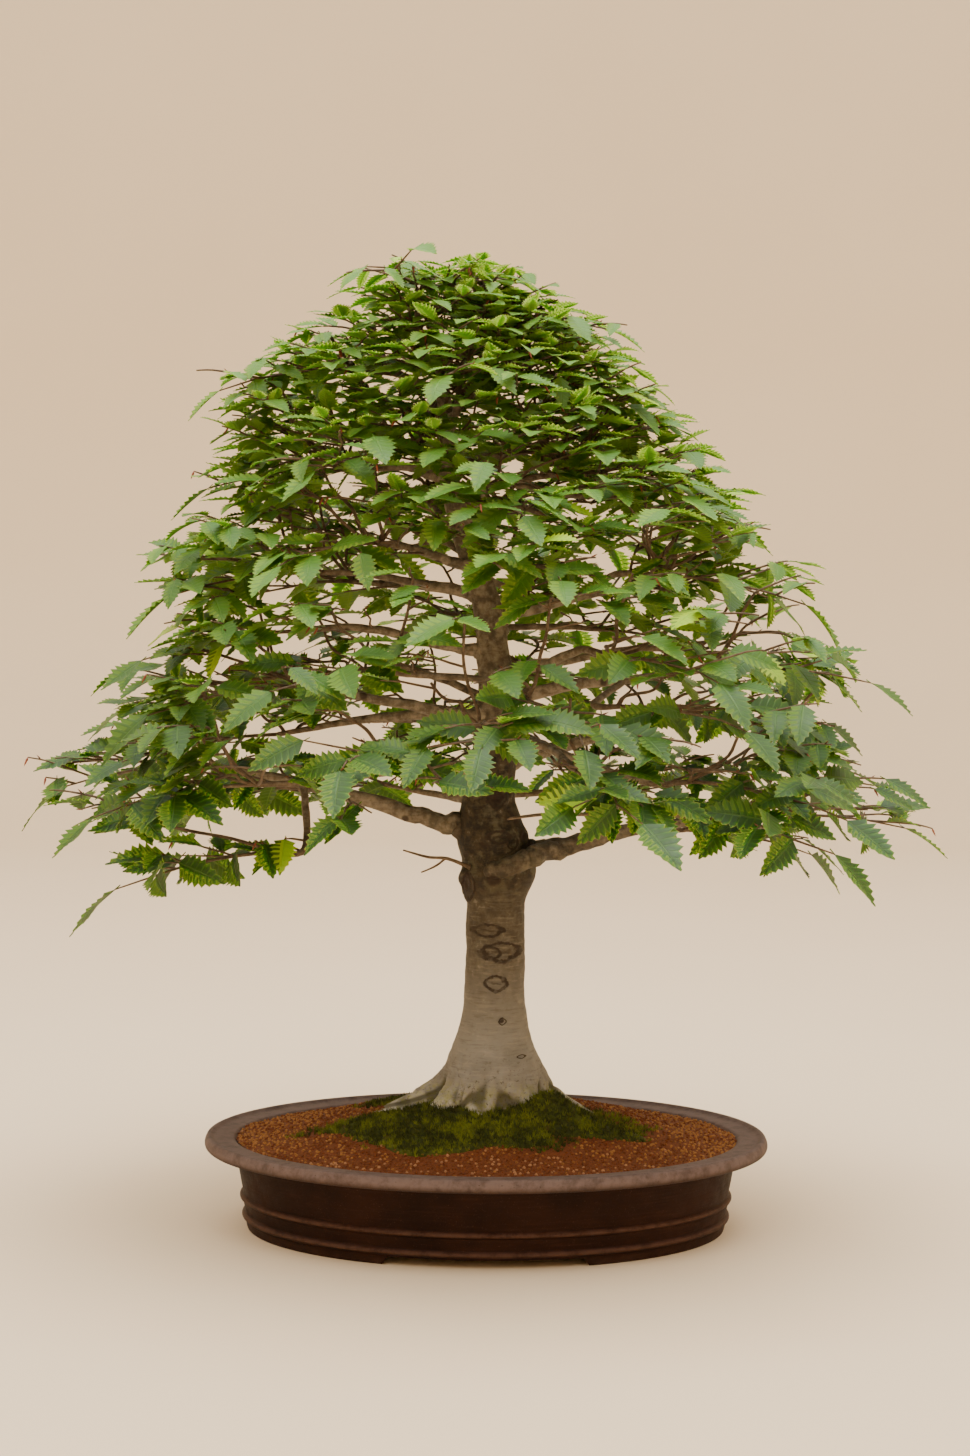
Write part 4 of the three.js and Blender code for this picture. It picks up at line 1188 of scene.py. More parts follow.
def make_bark():
    bark = Finish("beech_bark", Specular_IOR_Level=0.3)
    x, y, z = bark.parts(bark.place)
    height, thick, furrow = z * 1000, bark.attribute("thick"), bark.attribute("crease")
    broad, blotch = bark.clouds(40, 4), bark.clouds(20, 4, 0.6)
    mottle = bark.clouds(9, 5, 0.65)
    wrinkle = bark.clouds(3.4, 4, 0.6, scale=(0.16, 0.16, 1.3))
    grain = bark.clouds(1.2, 3)
    band_zone = bark.step(height, 318, 352) * bark.step(height, 520, 440)
    colour = bark.coats(
        old_wood(bark, height, broad, mottle),
        (band_zone * bark.step(blotch, 0.5, 0.6) * 0.5, (96, 90, 70)),
        (band_zone * bark.step(blotch, 0.42, 0.34) * 0.6, (46, 28, 16)),
    )
    twig = bark.tones(mottle, 0.3, 0.7, (74, 58, 44), (116, 97, 76))
    limb = bark.tones(mottle, 0.36, 0.64, (104, 93, 76), (154, 140, 120))
    limbs = bark.step(thick, 15.0, 10.0) * bark.step(height, 360, 450, 0.28, 1.0)
    colour = bark.blend(limbs * 0.85, colour, limb)
    colour = bark.blend(bark.step(thick, 5.0, 1.6), colour, twig)
    young = bark.step(height, 350, 300, 0.03, 0.12)
    knots = bark.step(bark.cells(26), 0.2, 0.12) * bark.step(thick, 13.5, 12.5)
    low = bark.step(height + mottle * 16, 168, 136)
    lichen = low * bark.step(bark.clouds(6, 5, 0.75), 0.47, 0.56)
    specks = bark.step(bark.clouds(3.6, 4, 0.7), 0.57, 0.66)
    mossy = bark.step(height + mottle * 30, 152, 132) * bark.step(blotch, 0.46, 0.56)
    white = bark.step(height + mottle * 24, 160, 142) * bark.step(blotch, 0.5, 0.4)
    front = bark.step(y - float(HOME[1]), 0.004, -0.006)
    wobble = (bark.clouds(7, 3) - 0.5) * 0.9
    broken = bark.step(mottle, 0.34, 0.52, 0.4, 1.0)
    marks = front * strongest([scar_mark(bark, x, z, wobble, broken, scar) for scar in SCARS])
    wounds = front * strongest([knot_mark(bark, x, z, wobble, knot) for knot in KNOTS])
    colour = bark.coats(
        colour,
        (bark.step(wrinkle, 0.54, 0.66) * 0.26, (62, 48, 32)),
        (bark.step(wrinkle, 0.46, 0.34) * young, (186, 174, 152)),
        (knots * bark.step(thick, 2.4, 3.4) * 0.7, (44, 32, 22)),
        (bark.step(mottle, 0.6, 0.72) * 0.2, (180, 172, 156)),
        (low * bark.step(mottle, 0.4, 0.6) * 0.5, (172, 166, 146)),
        (lichen * 0.75, (142, 142, 74)),
        (specks * bark.step(height, 196, 128, 0.1, 0.9), (58, 50, 34)),
        (mossy * 0.6, (70, 72, 26)),
        (white * 0.45, (196, 192, 176)),
        # Painted shade in the furrows between the roots.
        (bark.step(furrow, 0.25, 0.8) * 0.8, (56, 52, 24)),
        (marks * 0.9, (40, 28, 18)),
        (wounds * 0.8, (38, 22, 13)),
    )
    rough = bark.step(mottle, 0.2, 0.8, 0.62, 0.82)
    bumps = (wrinkle, 0.5), (mottle, 0.5), (grain, 0.15), (1 - marks, 0.5)
    return bark.done(colour, rough, *bumps)


BARK = make_bark()
hand_over(make_trunk(BARK), "bark", "trunk_and_branches")

# %% [markdown]
# ## The branches
#
# A branch leaves the trunk at a slant, bends level, and forks into side branches, each
# with a spray at its end. The solid model grew them from the table above, and the same
# lines here put the fine branches where the solid ones are.

# %% Grow the branches
LIMB_TIP = 2.6


def crown_reach(turn, height):
    """The crown's reach in one direction at one height."""
    left, right = read_table(CROWN, height, 1), read_table(CROWN, height, 2)
    width = left + (right - left) * (1 + math.cos(turn)) / 2
    return width / math.hypot(math.cos(turn), math.sin(turn) / CROWN_DEPTH)


def bend(start, heading, end, steps):
    """A path that leaves one point in one direction and bends to another point."""
    hold = start + heading * ((end - start).length * 0.45)
    shares = [step / steps for step in range(steps + 1)]
    return [start.lerp(hold, share).lerp(hold.lerp(end, share), share) for share in shares]


def taper(first, last, count):
    return [first + (last - first) * step / (count - 1) for step in range(count)]


def spray_start(row, root, number, place):
    """Where a spray leaves its branch."""
    _, direction, leaf_height, _, sprays = row
    turn, drop = sprays[place]
    facing = math.radians(direction + turn)
    level = leaf_height + drop + spread(-12, 12, 14, number, place)
    reach = crown_reach(facing, level)
    size = min(1, 0.55 + reach / 800)
    inward = max(reach - SPRAY_TIP_REACH * size, reach * 0.34)
    outward = towards(facing)
    point = Vector((0, 0, level - 4)) + outward * inward
    lean = max(0, (level - 700) / 250)
    point.x += CROWN_MIDDLE.x + (root.x - CROWN_MIDDLE.x) * lean
    return {"point": point, "outward": outward, "size": size, "number": number * 4 + place}


def grow_branch(row, number):
    """One branch with its side branches as limbs, and the starts of its sprays."""
    height, direction, _, radius, sprays = row
    root = trunk_point(height)
    starts = [spray_start(row, root, number, place) for place in range(len(sprays))]
    lead = min(range(len(sprays)), key=lambda place: abs(sprays[place][0]))
    leave = towards(math.radians(direction), rise=0.25).normalized()
    steps = 2 if height > SHORT_BRANCHES_FROM else 3
    path = bend(root, leave, starts[lead]["point"], steps)
    for step in range(1, steps):
        shift = [spread(-9, 9, 2, number, step), spread(-9, 9, 3, number, step)]
        path[step] += Vector((*shift, spread(-6, 8, 4, number, step)))
    limbs = [(path, taper(radius, LIMB_TIP, steps + 1))]
    for place, start in enumerate(starts):
        before = path[steps - 1]
        start["limb"] = path
        if place != lead:
            fork = steps - 1 if place % 2 == 0 else 1
            origin = path[fork]
            ahead = (path[fork + 1] - origin).normalized()
            length = (start["point"] - origin).length
            before = start["point"] - start["outward"] * (0.42 * length)
            before += ahead * (0.06 * length)
            thick = radius + (LIMB_TIP - radius) * fork / steps
            start["limb"] = [origin, before, start["point"]]
            limbs.append((start["limb"], [thick * 0.8, 3.4, 2.4]))
        start["heading"] = (start["point"] - before).normalized()
    return limbs, starts


def grow_branches():
    """The main branches, the spray at the top of the trunk, and the dome's branches."""
    top = trunk_point(TRUNK[-1][0])
    crown_top = {
        "point": top, "outward": Vector((0.3, 0, 1)), "heading": Vector((0, 0, 1)),
        "size": 0.45, "number": 4 * len(BRANCHES),
        "limb": [trunk_point(808), trunk_point(862), top],
    }
    limbs, starts = [], []
    for number, row in enumerate(BRANCHES + [None] + DOME_BRANCHES):
        own_limbs, own_starts = grow_branch(row, number) if row else ([], [crown_top])
        limbs += own_limbs
        starts += own_starts
    return limbs, starts


LIMBS, STARTS = grow_branches()
print(len(LIMBS), "limbs carry", len(STARTS), "sprays")

# %% [markdown]
# ## Sprays and leaves
#
# The frame already holds one leaf for every few of the real tree. Each is a blade with a
# point above and a point below its middle, and those two points touch nine others, which
# no other point does. So the leaves can be read off the frame's mesh, and the fine ones
# lie exactly there.

# %% Read the leaves of the frame
BLADE_HUB = 9


def merged_mesh(node):
    """A node's points in millimetres, each once, and its triangles."""
    mesh = frame["nodes"][node].data
    mesh.calc_loop_triangles()
    points = np.empty(len(mesh.vertices) * 3)
    mesh.vertices.foreach_get("co", points)
    points = (points.reshape(-1, 3) - HOME) / MM
    triangles = np.empty(len(mesh.loop_triangles) * 3, int)
    mesh.loop_triangles.foreach_get("vertices", triangles)
    rounded, index = np.unique(np.round(points, 2), axis=0, return_inverse=True)
    return rounded, index.ravel()[triangles].reshape(-1, 3)


def read_leaves(node):
    """Base, length and directions of each leaf of a node."""
    points, triangles = merged_mesh(node)
    around = defaultdict(set)
    for corners in triangles:
        for corner in corners:
            around[corner].update(other for other in corners if other != corner)
    hubs = [point for point, near in around.items() if len(near) == BLADE_HUB]
    leaves = []
    for place, over in enumerate(hubs):
        for under in hubs[place + 1:]:
            rim = around[over] & around[under]
            if len(rim) < BLADE_HUB - 3:
                continue
            base = Vector(points[list((around[over] | around[under]) - rim)].mean(axis=0))
            up = Vector(points[over] - points[under]).normalized()
            tip = max((Vector(points[corner]) for corner in rim),
                      key=lambda corner: (corner - base).length)
            if (tip - base).dot(up) > 0:
                up = -up
            flat = (tip - base) - up * (tip - base).dot(up)
            leaves.append({
                "base": base, "ahead": flat.normalized(), "up": up, "length": flat.length,
            })
    return leaves


FRAME_LEAVES = [read_leaves(f"spray_{number + 1:02d}") for number in range(len(STARTS))]
print("leaves in the frame", sum(len(leaves) for leaves in FRAME_LEAVES))

# %% [markdown]
# The twigs of a spray follow from its start. The solid model bent a spray aside where
# its place was taken, and tried a few ways to do so. The way that it chose is the one
# whose joints lie nearest to the leaves.

# %% Find the twigs of each spray
def sections(ahead):
    """Right and up across a direction."""
    steady = Vector((0, 1, 0)) if abs(ahead.z) > 0.85 else Vector((0, 0, 1))
    right = ahead.cross(steady).normalized()
    return right, right.cross(ahead).normalized()


def spray_twigs(start, attempt):
    """The leading twig of a spray and the two at its sides, as paths."""
    key, size = start["number"], start["size"]
    swing = spread(-0.14, 0.14, 5, key) + SWING_TRIES[attempt]
    rise = spread(-0.12, 0.06, 6, key) + RISE_TRIES[attempt]
    ahead = start["heading"] * 0.45 + start["outward"] * 0.75
    ahead.z = ahead.z * 0.7 + rise
    ahead = (Matrix.Rotation(swing, 3, "Z") @ ahead).normalized()
    right, _ = sections(ahead)
    first = start["point"] + start["heading"] * 0.3
    step = SPRAY_LENGTH * size / 4
    hand = 1 if chance(7, key) > 0.5 else -1
    main = [first]
    for joint in range(1, 5):
        side = ZIGZAG * hand * size * (-1 if joint % 2 == 0 else 1)
        point = first + ahead * (step * joint) + right * side
        point.z -= 1.6 * joint * (joint - 1)
        main.append(point)
    sides = []
    for joint in (1, 2):
        turned_off = ahead * 0.6 + right * ((-0.8 if joint == 1 else 0.8) * hand)
        turned_off.z += spread(-0.22, 0.34, 8, key, joint)
        turned_off.normalize()
        sides.append([main[joint], main[joint] + turned_off * step * 0.9,
                      main[joint] + turned_off * step * 1.7])
    return [main, *sides]


def find_twigs(start, leaves):
    def misfit(twigs):
        joints = [joint for path in twigs for joint in path[1:]]
        return sum(min((leaf["base"] - joint).length for joint in joints) for leaf in leaves)

    return min((spray_twigs(start, attempt) for attempt in range(7)), key=misfit)


SPRAYS = [find_twigs(start, leaves) for start, leaves in zip(STARTS, FRAME_LEAVES)]

# %% [markdown]
# Between the leaves of the frame the real crown holds many more. Their twigs leave the
# outer part of each limb and each leading twig, and every leaf has to find room: wood and
# leaves already there are kept as turned boxes, and a leaf that meets one of them tries
# to hang or swing a little, or is left out.

# %% Room for leaves
class Room:
    """The space that wood and leaves have taken, as turned boxes."""

    def __init__(self, most):
        self.count = 0
        self.middles = np.empty((most, 3))
        self.axes = np.empty((most, 3, 3))
        self.halves = np.empty((most, 3))
        self.rounds = np.empty(most)

    def take(self, middle, axes, half):
        place = self.count
        self.middles[place], self.axes[place], self.halves[place] = middle, axes, half
        self.rounds[place] = math.hypot(*half)
        self.count += 1

    def is_free(self, middle, axes, half):
        """Whether no taken box meets this one, by the test of separating axes."""
        apart = self.middles[:self.count] - middle
        reach = self.rounds[:self.count] + math.hypot(*half)
        near = np.flatnonzero((apart**2).sum(axis=1) < reach**2)
        if near.size == 0:
            return True
        apart, other = apart[near], self.axes[near]
        own = np.broadcast_to(axes, other.shape)
        crossed = np.cross(other[:, :, None], own[:, None]).reshape(len(near), 9, 3)
        tests = np.concatenate([other, own, crossed], axis=1)
        far = np.abs(np.einsum("nij,nj->ni", tests, apart))
        theirs = np.abs(np.einsum("nij,nkj->nik", tests, other)) * self.halves[near, None]
        mine = np.abs(tests @ np.asarray(axes).T) * half
        gap = far > theirs.sum(axis=2) + mine.sum(axis=2)
        gap &= (tests**2).sum(axis=2) > 1e-9
        return bool(gap.any(axis=1).all())


# The box that a leaf takes: half its length and half its width, and how far its middle
# sags, all to the leaf's length, and half its thickness in millimetres.
LEAF_BOX, LEAF_SAG, THIN_LEAF = (0.43, 0.19), 0.04, 0.9


def leaf_box(leaf):
    ahead, up, length = leaf["ahead"], leaf["up"], leaf["length"]
    middle = leaf["base"] + ahead * (length * 0.5) - up * (length * LEAF_SAG)
    return middle, [ahead, ahead.cross(up), up], (*(length * half for half in LEAF_BOX), THIN_LEAF)


def take_path(room, path, radius):
    for start, end in zip(path, path[1:]):
        ahead = (end - start).normalized()
        right, up = sections(ahead)
        half = ((end - start).length / 2, radius, radius)
        room.take((start + end) / 2, [ahead, right, up], half)


# %% Shoots and their leaves
LONG_STEP, SHORT_STEP = 17, 6.5
LEAF_TRIES = 4
# Height, shortest leaf, longest leaf.
LEAF_LENGTHS = [[400, 44, 62], [600, 38, 56], [760, 32, 48], [960, 26, 38]]
# Height, and the size there of a fine leaf to the solid one that it stands for.
FRAME_LEAF_SIZE = [[400, 0.92], [600, 0.88], [760, 0.8], [950, 0.68]]
# How much the solid model's blades turn their faces to the front, low and high in the
# crown, and the height where that changes.
FACE_FRONT_LOW, FACE_FRONT_HIGH, FACE_CHANGE = -0.3, -0.12, 600
# How far the leaves of a shoot open from its direction, counted from its tip.
OPENINGS = [0.0, 0.55, 0.8, 1.0, 1.2]
# Height, and how far the leaves there hang below level.
LEAF_DROOP = [[400, 0.32], [620, 0.22], [760, 0.06], [900, -0.04]]
# How far the upper face leans to the front, by height: low leaves show their faces.
LEAF_LEAN = [[400, 0.25], [560, 0.22], [700, 0.06], [960, 0.12]]
# How low leaves hang in the middle of the crown, and beyond it at its sides.
CROWN_FLOOR, SIDE_FLOOR, CLEAR_MIDDLE = 398, 346, 185
# The dark inside of the crown has no leaves: height, and the share of the crown's reach
# where they start.
LEAFLESS = [[400, 0.62], [540, 0.54], [640, 0.5], [720, 0.46], [800, 0.3], [880, 0]]
# Height, and how much of the crown is left open between its pads: -1 nothing, 0 half.
GAPS = [[400, 0.02], [470, 0.06], [600, 0.06], [660, -0.02], [740, -0.2], [860, -0.5]]
# Clearings in the front of the crown, as seen from the camera in the upright plane through
# the trunk: left, right, low, high, and the share of the leaves that stays there.
CLEARINGS = [
    [-62, 74, 0, 440, 0.0], [60, 205, 352, 402, 0.0], [-140, -50, 384, 424, 0.0],
    [-70, 150, 440, 640, 0.3], [-170, 240, 500, 610, 0.45], [-110, 60, 640, 760, 0.6],
]


def hang_leaf(point, forward, hand, opening, keys, attempt):
    """A leaf at a joint: aside of the shoot, tip down, upper face up and a bit outward."""
    right, _ = sections(forward)
    other_way = (-1) ** attempt * attempt
    opening = opening * spread(0.85, 1.15, 51, *keys) + 0.13 * other_way
    ahead = forward * math.cos(opening) + right * (math.sin(opening) * hand)
    droop = read_table(LEAF_DROOP, point.z, 1) * (0.35 + 0.65 * max(-ahead.y, 0))
    ahead.z = ahead.z * 0.6 - spread(-0.14, 0.3, 52, *keys) - droop - 0.16 * other_way
    ahead.normalize()
    out = (point - CROWN_MIDDLE).normalized()
    up = Vector((0, 0, 1)) + out * spread(-0.05, 0.45, 55, *keys)
    up.x += spread(-0.25, 0.25, 53, *keys)
    up.y += spread(-0.4, 0.4, 54, *keys) - read_table(LEAF_LEAN, point.z, 1)
    up = square_to(ahead, up)
    shortest, longest = (read_table(LEAF_LENGTHS, point.z, column) for column in (1, 2))
    length = spread(shortest, longest, 56, *keys) * (1 - 0.06 * attempt)
    return {"base": point + right * (0.6 * hand), "ahead": ahead, "up": up, "length": length}


def inside_crown(point, margin):
    """Whether a leaf's tip may be here: within the crown's outline, but not deep inside."""
    floor = CROWN_FLOOR if abs(point.x) < CLEAR_MIDDLE else SIDE_FLOOR
    if not floor < point.z < CROWN[-1][0] - margin:
        return False
    reach = crown_reach(math.atan2(point.y, point.x - CROWN_MIDDLE.x), point.z)
    out = math.hypot(point.x - CROWN_MIDDLE.x, point.y)
    return read_table(LEAFLESS, point.z, 1) * reach < out < reach - margin


def in_gap(point):
    """Whether a leaf here would fill one of the gaps between the pads of the low crown."""
    pads = noise.noise(Vector((point.x / 84, point.y / 230, point.z / 46 + 11)))
    return pads < read_table(GAPS, point.z, 1)


def hides_wood(point, keys):
    """Whether a leaf here would hang in one of the clearings in the front of the crown."""
    if point.y > 40:
        return False
    nearer = CAMERA_PLACE[1] / (CAMERA_PLACE[1] - point.y)
    x, z = point.x * nearer, CAMERA_PLACE[2] + (point.z - CAMERA_PLACE[2]) * nearer
    return any(
        left < x < right and low < z < high and chance(57, *keys) >= stays
        for left, right, low, high, stays in CLEARINGS
    )


def shoot(point, ahead, joints, keys):
    """A thin shoot: long steps first, and short ones where its leaves crowd at the tip."""
    right, _ = sections(ahead)
    path = [point]
    for joint in range(1, joints + 1):
        crowded = joint > joints - 3
        step = (SHORT_STEP if crowded else LONG_STEP) * spread(0.8, 1.2, 67, *keys, joint)
        zig = (0.8 if crowded else 2.4) * (1 if joint % 2 else -1)
        point = path[-1] + ahead * step + right * zig
        point.z -= 0.25 * joint
        path.append(point)
    return path


def add_leaves(room, path, keys):
    """Leaves in turn to the right and the left of a shoot, and one at its end."""
    found = []
    for joint in range(1, len(path)):
        forward = (path[joint] - path[joint - 1]).normalized()
        from_tip = min(len(path) - 1 - joint, len(OPENINGS) - 1)
        hand = 1 if joint % 2 else -1
        for attempt in range(LEAF_TRIES):
            leaf = hang_leaf(
                path[joint], forward, hand, OPENINGS[from_tip], (*keys, joint), attempt
            )
            tip = leaf["base"] + leaf["ahead"] * leaf["length"]
            middle = (leaf["base"] + tip) / 2
            if not inside_crown(tip, 2) or in_gap(middle) or hides_wood(middle, (*keys, joint)):
                continue
            if room.is_free(*leaf_box(leaf)):
                room.take(*leaf_box(leaf))
                found.append(leaf)
                break
    return found


def along_path(path, share):
    """The point and the heading at a share of a path's length."""
    lengths = np.cumsum([0.0] + [(end - start).length for start, end in zip(path, path[1:])])
    goal = share * lengths[-1]
    step = min(int(np.searchsorted(lengths, goal, side="right")), len(path) - 1)
    part = (goal - lengths[step - 1]) / (lengths[step] - lengths[step - 1])
    ahead = (path[step] - path[step - 1]).normalized()
    return path[step - 1].lerp(path[step], part), ahead


def side_shoot(start, twigs, number):
    """One more shoot on a spray or on the outer part of the limb that carries it."""
    keys = (61, start["number"], number)
    on_twig = number % 2 == 0
    low, high = (0.1, 0.9) if on_twig else (0.5, 0.98)
    share = spread(low, high, 62, *keys)
    point, heading = along_path(twigs[0] if on_twig else start["limb"], share)
    swing = (1 if number % 4 < 2 else -1) * spread(0.3, 1.3, 64, *keys)
    ahead = Matrix.Rotation(swing, 3, "Z") @ (start["outward"] * 0.6 + heading * 0.5)
    ahead.z = spread(-0.1, 0.55, 65, *keys)
    return shoot(point, ahead.normalized(), 4 + int(chance(66, *keys) * 3), keys)


# %% [markdown]
# The frame's sprays leave gaps that the real crown hasn't, most of all in its dome. So
# thin branches are added, each to one of many places spread over the crown by the golden
# angle, and from the wood nearest below.

# %% Fill the dome
FILL_BRANCHES = 240
# The shoots of a thin branch: the share of its length where each leaves, and its turn.
FILL_SHOOTS = [(1, 0), (0.94, 0.75), (0.9, -0.7), (0.72, 1.1), (0.62, -1.15), (0.84, 0.3)]
# Height, and how close together the thin branches stand there.
FULLNESS = [[400, 0.7], [640, 0.75], [760, 1.4], [960, 2.9]]
GOLDEN_TURN = math.radians(137.508)
SIDE_SHOOTS = 8
MOST_LEAVES = 9000


def wood_samples():
    """Points along all limbs and the upper trunk, with the thickness there."""
    samples = []
    for path, radii in LIMBS:
        for share in np.linspace(0.15, 0.97, 18):
            point, _ = along_path(path, share)
            samples.append((point, radii[0] + (radii[-1] - radii[0]) * share))
    for height in range(520, 900, 10):
        samples.append((trunk_point(height), read_table(TRUNK, height, 2)))
    return samples


def crown_places():
    """Places spread over the outer part of the crown, from the floor to the dome."""
    heights = np.linspace(CROWN_FLOOR + 30, CROWN[-1][0] - 12, 120)
    girth = np.cumsum([
        (crown_reach(0, height) + 60) * read_table(FULLNESS, height, 1) for height in heights
    ])
    girth = (girth - girth[0]) / (girth[-1] - girth[0])
    for number in range(FILL_BRANCHES):
        height = float(np.interp((number + 0.5) / FILL_BRANCHES, girth, heights))
        turn = number * GOLDEN_TURN
        reach = (crown_reach(turn, height) - 84) * spread(0.82, 1.1, 91, number)
        yield number, turn, Vector((
            CROWN_MIDDLE.x + reach * math.cos(turn), reach * math.sin(turn), height - 8,
        ))


def fill_branch(number, place, samples):
    """A thin branch from the nearest wood below a place to that place."""
    def effort(sample):
        rise = place.z - sample[0].z
        return (sample[0] - place).length + 2.5 * max(8 - rise, 0)

    origin, thick = min(samples, key=effort)
    heading = place - origin
    heading.z = abs(heading.z) * 0.3 + 20
    path = bend(origin, heading.normalized(), place, 4)
    for step in range(1, 4):
        path[step] += Vector([spread(-5, 5, 92, number, step, axis) for axis in range(3)])
    return path, taper(min(3.4, thick * 0.75), 1.3, 5)


def fill_spray(room, path, turn, number):
    """The shoots and leaves at the end of one thin branch."""
    twigs, leaves = [], []
    ahead = (towards(turn) + (path[-1] - path[-2]).normalized() * 0.5).normalized()
    for twig, (share, swing) in enumerate(FILL_SHOOTS):
        keys = (95, number, twig)
        point, _ = along_path(path, share)
        turned_off = Matrix.Rotation(swing + spread(-0.25, 0.25, 93, *keys), 3, "Z") @ ahead
        turned_off.z = spread(-0.15, 0.3, 94, *keys) + min((point.z - 500) / 1100, 0.26)
        twig_path = shoot(point, turned_off.normalized(), 4 + int(chance(96, *keys) * 2), keys)
        found = add_leaves(room, twig_path, keys)
        if found:
            twigs.append(twig_path)
            leaves += found
    return {"twigs": twigs, "leaves": leaves}


def fill_crown():
    """All twigs and leaves: those of the frame first, then what finds room among them."""
    room = Room(MOST_LEAVES)
    for path, radii in LIMBS:
        take_path(room, path, radii[-1])
    for low, high, row in zip(TRUNK, TRUNK[1:], TRUNK):
        take_path(room, [trunk_point(low[0]), trunk_point(high[0])], row[2])
    for leaf in itertools.chain.from_iterable(FRAME_LEAVES):
        leaf["length"] *= read_table(FRAME_LEAF_SIZE, leaf["base"].z, 1)
        facing = FACE_FRONT_LOW if leaf["base"].z < FACE_CHANGE else FACE_FRONT_HIGH
        faced = leaf["up"] + Vector((0, facing, 0))
        leaf["up"] = square_to(leaf["ahead"], faced)
        room.take(*leaf_box(leaf))
    samples = wood_samples()
    places = [(number, turn, fill_branch(number, place, samples))
              for number, turn, place in crown_places()]
    fill_limbs = [limb for _, _, limb in places]
    for path, radii in fill_limbs:
        take_path(room, path[1:], radii[-1])
    crown = [{"twigs": list(twigs), "leaves": list(leaves)}
             for twigs, leaves in zip(SPRAYS, FRAME_LEAVES)]
    for number in range(SIDE_SHOOTS):
        for start, twigs, spray in zip(STARTS, SPRAYS, crown):
            path = side_shoot(start, twigs, number)
            leaves = add_leaves(room, path, (71, start["number"], number))
            if leaves:
                spray["twigs"].append(path)
                spray["leaves"] += leaves
    crown += [fill_spray(room, path, turn, number) for number, turn, (path, _) in places]
    return crown, fill_limbs


CROWN_SPRAYS, FILL_LIMBS = fill_crown()
print("twigs", sum(len(spray["twigs"]) for spray in CROWN_SPRAYS),
      "leaves", sum(len(spray["leaves"]) for spray in CROWN_SPRAYS))

# %% [markdown]
# ## Wood along paths
#
# Branches and twigs are tubes along paths, thick at the start and thin at the end. One
# rule makes them all: it smooths the paths, reads their thickness from the points, makes
# the thick ones gnarled, and gives each a round section with closed ends. A limb also
# swells where it leaves the trunk. Low on the trunk an elbow in front and a bare twig on
# the left are added, which the table of branches doesn't hold.

# %% The wood rule
def paths_mesh(name, paths):
    """Paths as loose edges, with the thickness in metres at each point."""
    points, edges, thick = [], [], []
    for path, radii in paths:
        start = len(points)
        points += path
        thick += [radius * MM for radius in radii]
        edges += [(start + step, start + step + 1) for step in range(len(path) - 1)]
    mesh = mesh_of(name, points, [], edges)
    give(mesh, "radius_at", thick)
    return mesh


def wood_rule(name, material):
    rule = Rule(name, Sides=("Int", 8), Smoothness=("Int", 4), Gnarl=("Float", 0.4),
                Knots=("Float", 0.02))
    sizes = rule.start
    curves = rule.add("GeometryNodeMeshToCurve", sockets={"Mesh": sizes})
    curves = rule.add("GeometryNodeCurveSplineType", {"spline_type": "CATMULL_ROM"}, {
        "Curve": curves,
    })
    curves = rule.add("GeometryNodeSetSplineResolution", sockets={
        "Geometry": curves, "Resolution": sizes.other("Smoothness"),
    })
    curves = rule.add("GeometryNodeResampleCurve", {"mode": "EVALUATED"}, {"Curve": curves})
    thick = rule.named("radius_at")
    curves = rule.store(curves, "thick", thick * 1000)
    cloud = {"noise_dimensions": "3D"}
    wander = rule.add("ShaderNodeTexNoise", cloud, {"Scale": 45.0}, out="Color")
    centred = rule.add("ShaderNodeVectorMath", {"operation": "SUBTRACT"}, {
        0: wander, 1: (0.5, 0.5, 0.5),
    })
    amount = thick.work("MAXIMUM", thick - 0.002, 0.0) * sizes.other("Gnarl") * 4.0
    curves = rule.push(curves, centred, amount)
    section = rule.add("GeometryNodeCurvePrimitiveCircle", {"mode": "RADIUS"}, {
        "Resolution": sizes.other("Sides"), "Radius": 1.0,
    })
    tubes = rule.add("GeometryNodeCurveToMesh", sockets={
        "Curve": curves, "Profile Curve": section, "Scale": thick, "Fill Caps": True,
    })
    lumps = rule.add("ShaderNodeTexNoise", cloud, {"Scale": 150.0})
    swell = (lumps - 0.5) * sizes.other("Knots") * rule.named("thick") * 0.001
    tubes = rule.push(tubes, rule.add("GeometryNodeInputNormal"), swell)
    tubes = rule.add("GeometryNodeSetShadeSmooth", sockets={"Geometry": tubes})
    return rule.end(tubes, material)


WOOD_RULE = wood_rule("wood_along_paths", BARK)


# The elbow, the bare twig and its spur: the points of each and the radius at each point.
LOW_WOOD = [
    ([(-2, -14, 356), (8, -29, 360), (26, -33, 367), (46, -24, 375), (72, -8, 380)],
     [8, 9.5, 10, 10.5, 9]),
    ([(-18, -20, 362), (-40, -26, 371), (-60, -30, 373), (-84, -34, 380)],
     [2.2, 1.6, 1.3, 0.8]),
    ([(-42, -26, 371.5), (-52, -30, 364), (-66, -34, 358)], [1.3, 1.0, 0.7]),
]


def branch_paths():
    """The limbs with a collar where each leaves the trunk or its branch."""
    paths = []
    for path, radii in LIMBS:
        ahead = (path[1] - path[0]).normalized()
        height = path[0].z
        on_trunk = (path[0] - trunk_point(height)).length < 1
        skin = read_table(TRUNK, height, 2) if on_trunk else radii[0] * 1.2
        near = min(skin / (path[1] - path[0]).length, 0.5)
        far = min((skin + 1.8 * radii[0]) / (path[1] - path[0]).length, 0.75)
        swell = path[0].lerp(path[1], near)
        neck = path[0].lerp(path[1], far)
        first = radii[0] + (radii[1] - radii[0]) * near
        second = radii[0] + (radii[1] - radii[0]) * far
        start = path[0] + ahead * min(skin * 0.4, 8)
        paths.append(([start, swell, neck, *path[1:]],
                      [radii[0] * 1.25, first * 1.3, second, *radii[1:]]))
    return paths + [([Vector(point) for point in path], radii) for path, radii in LOW_WOOD]


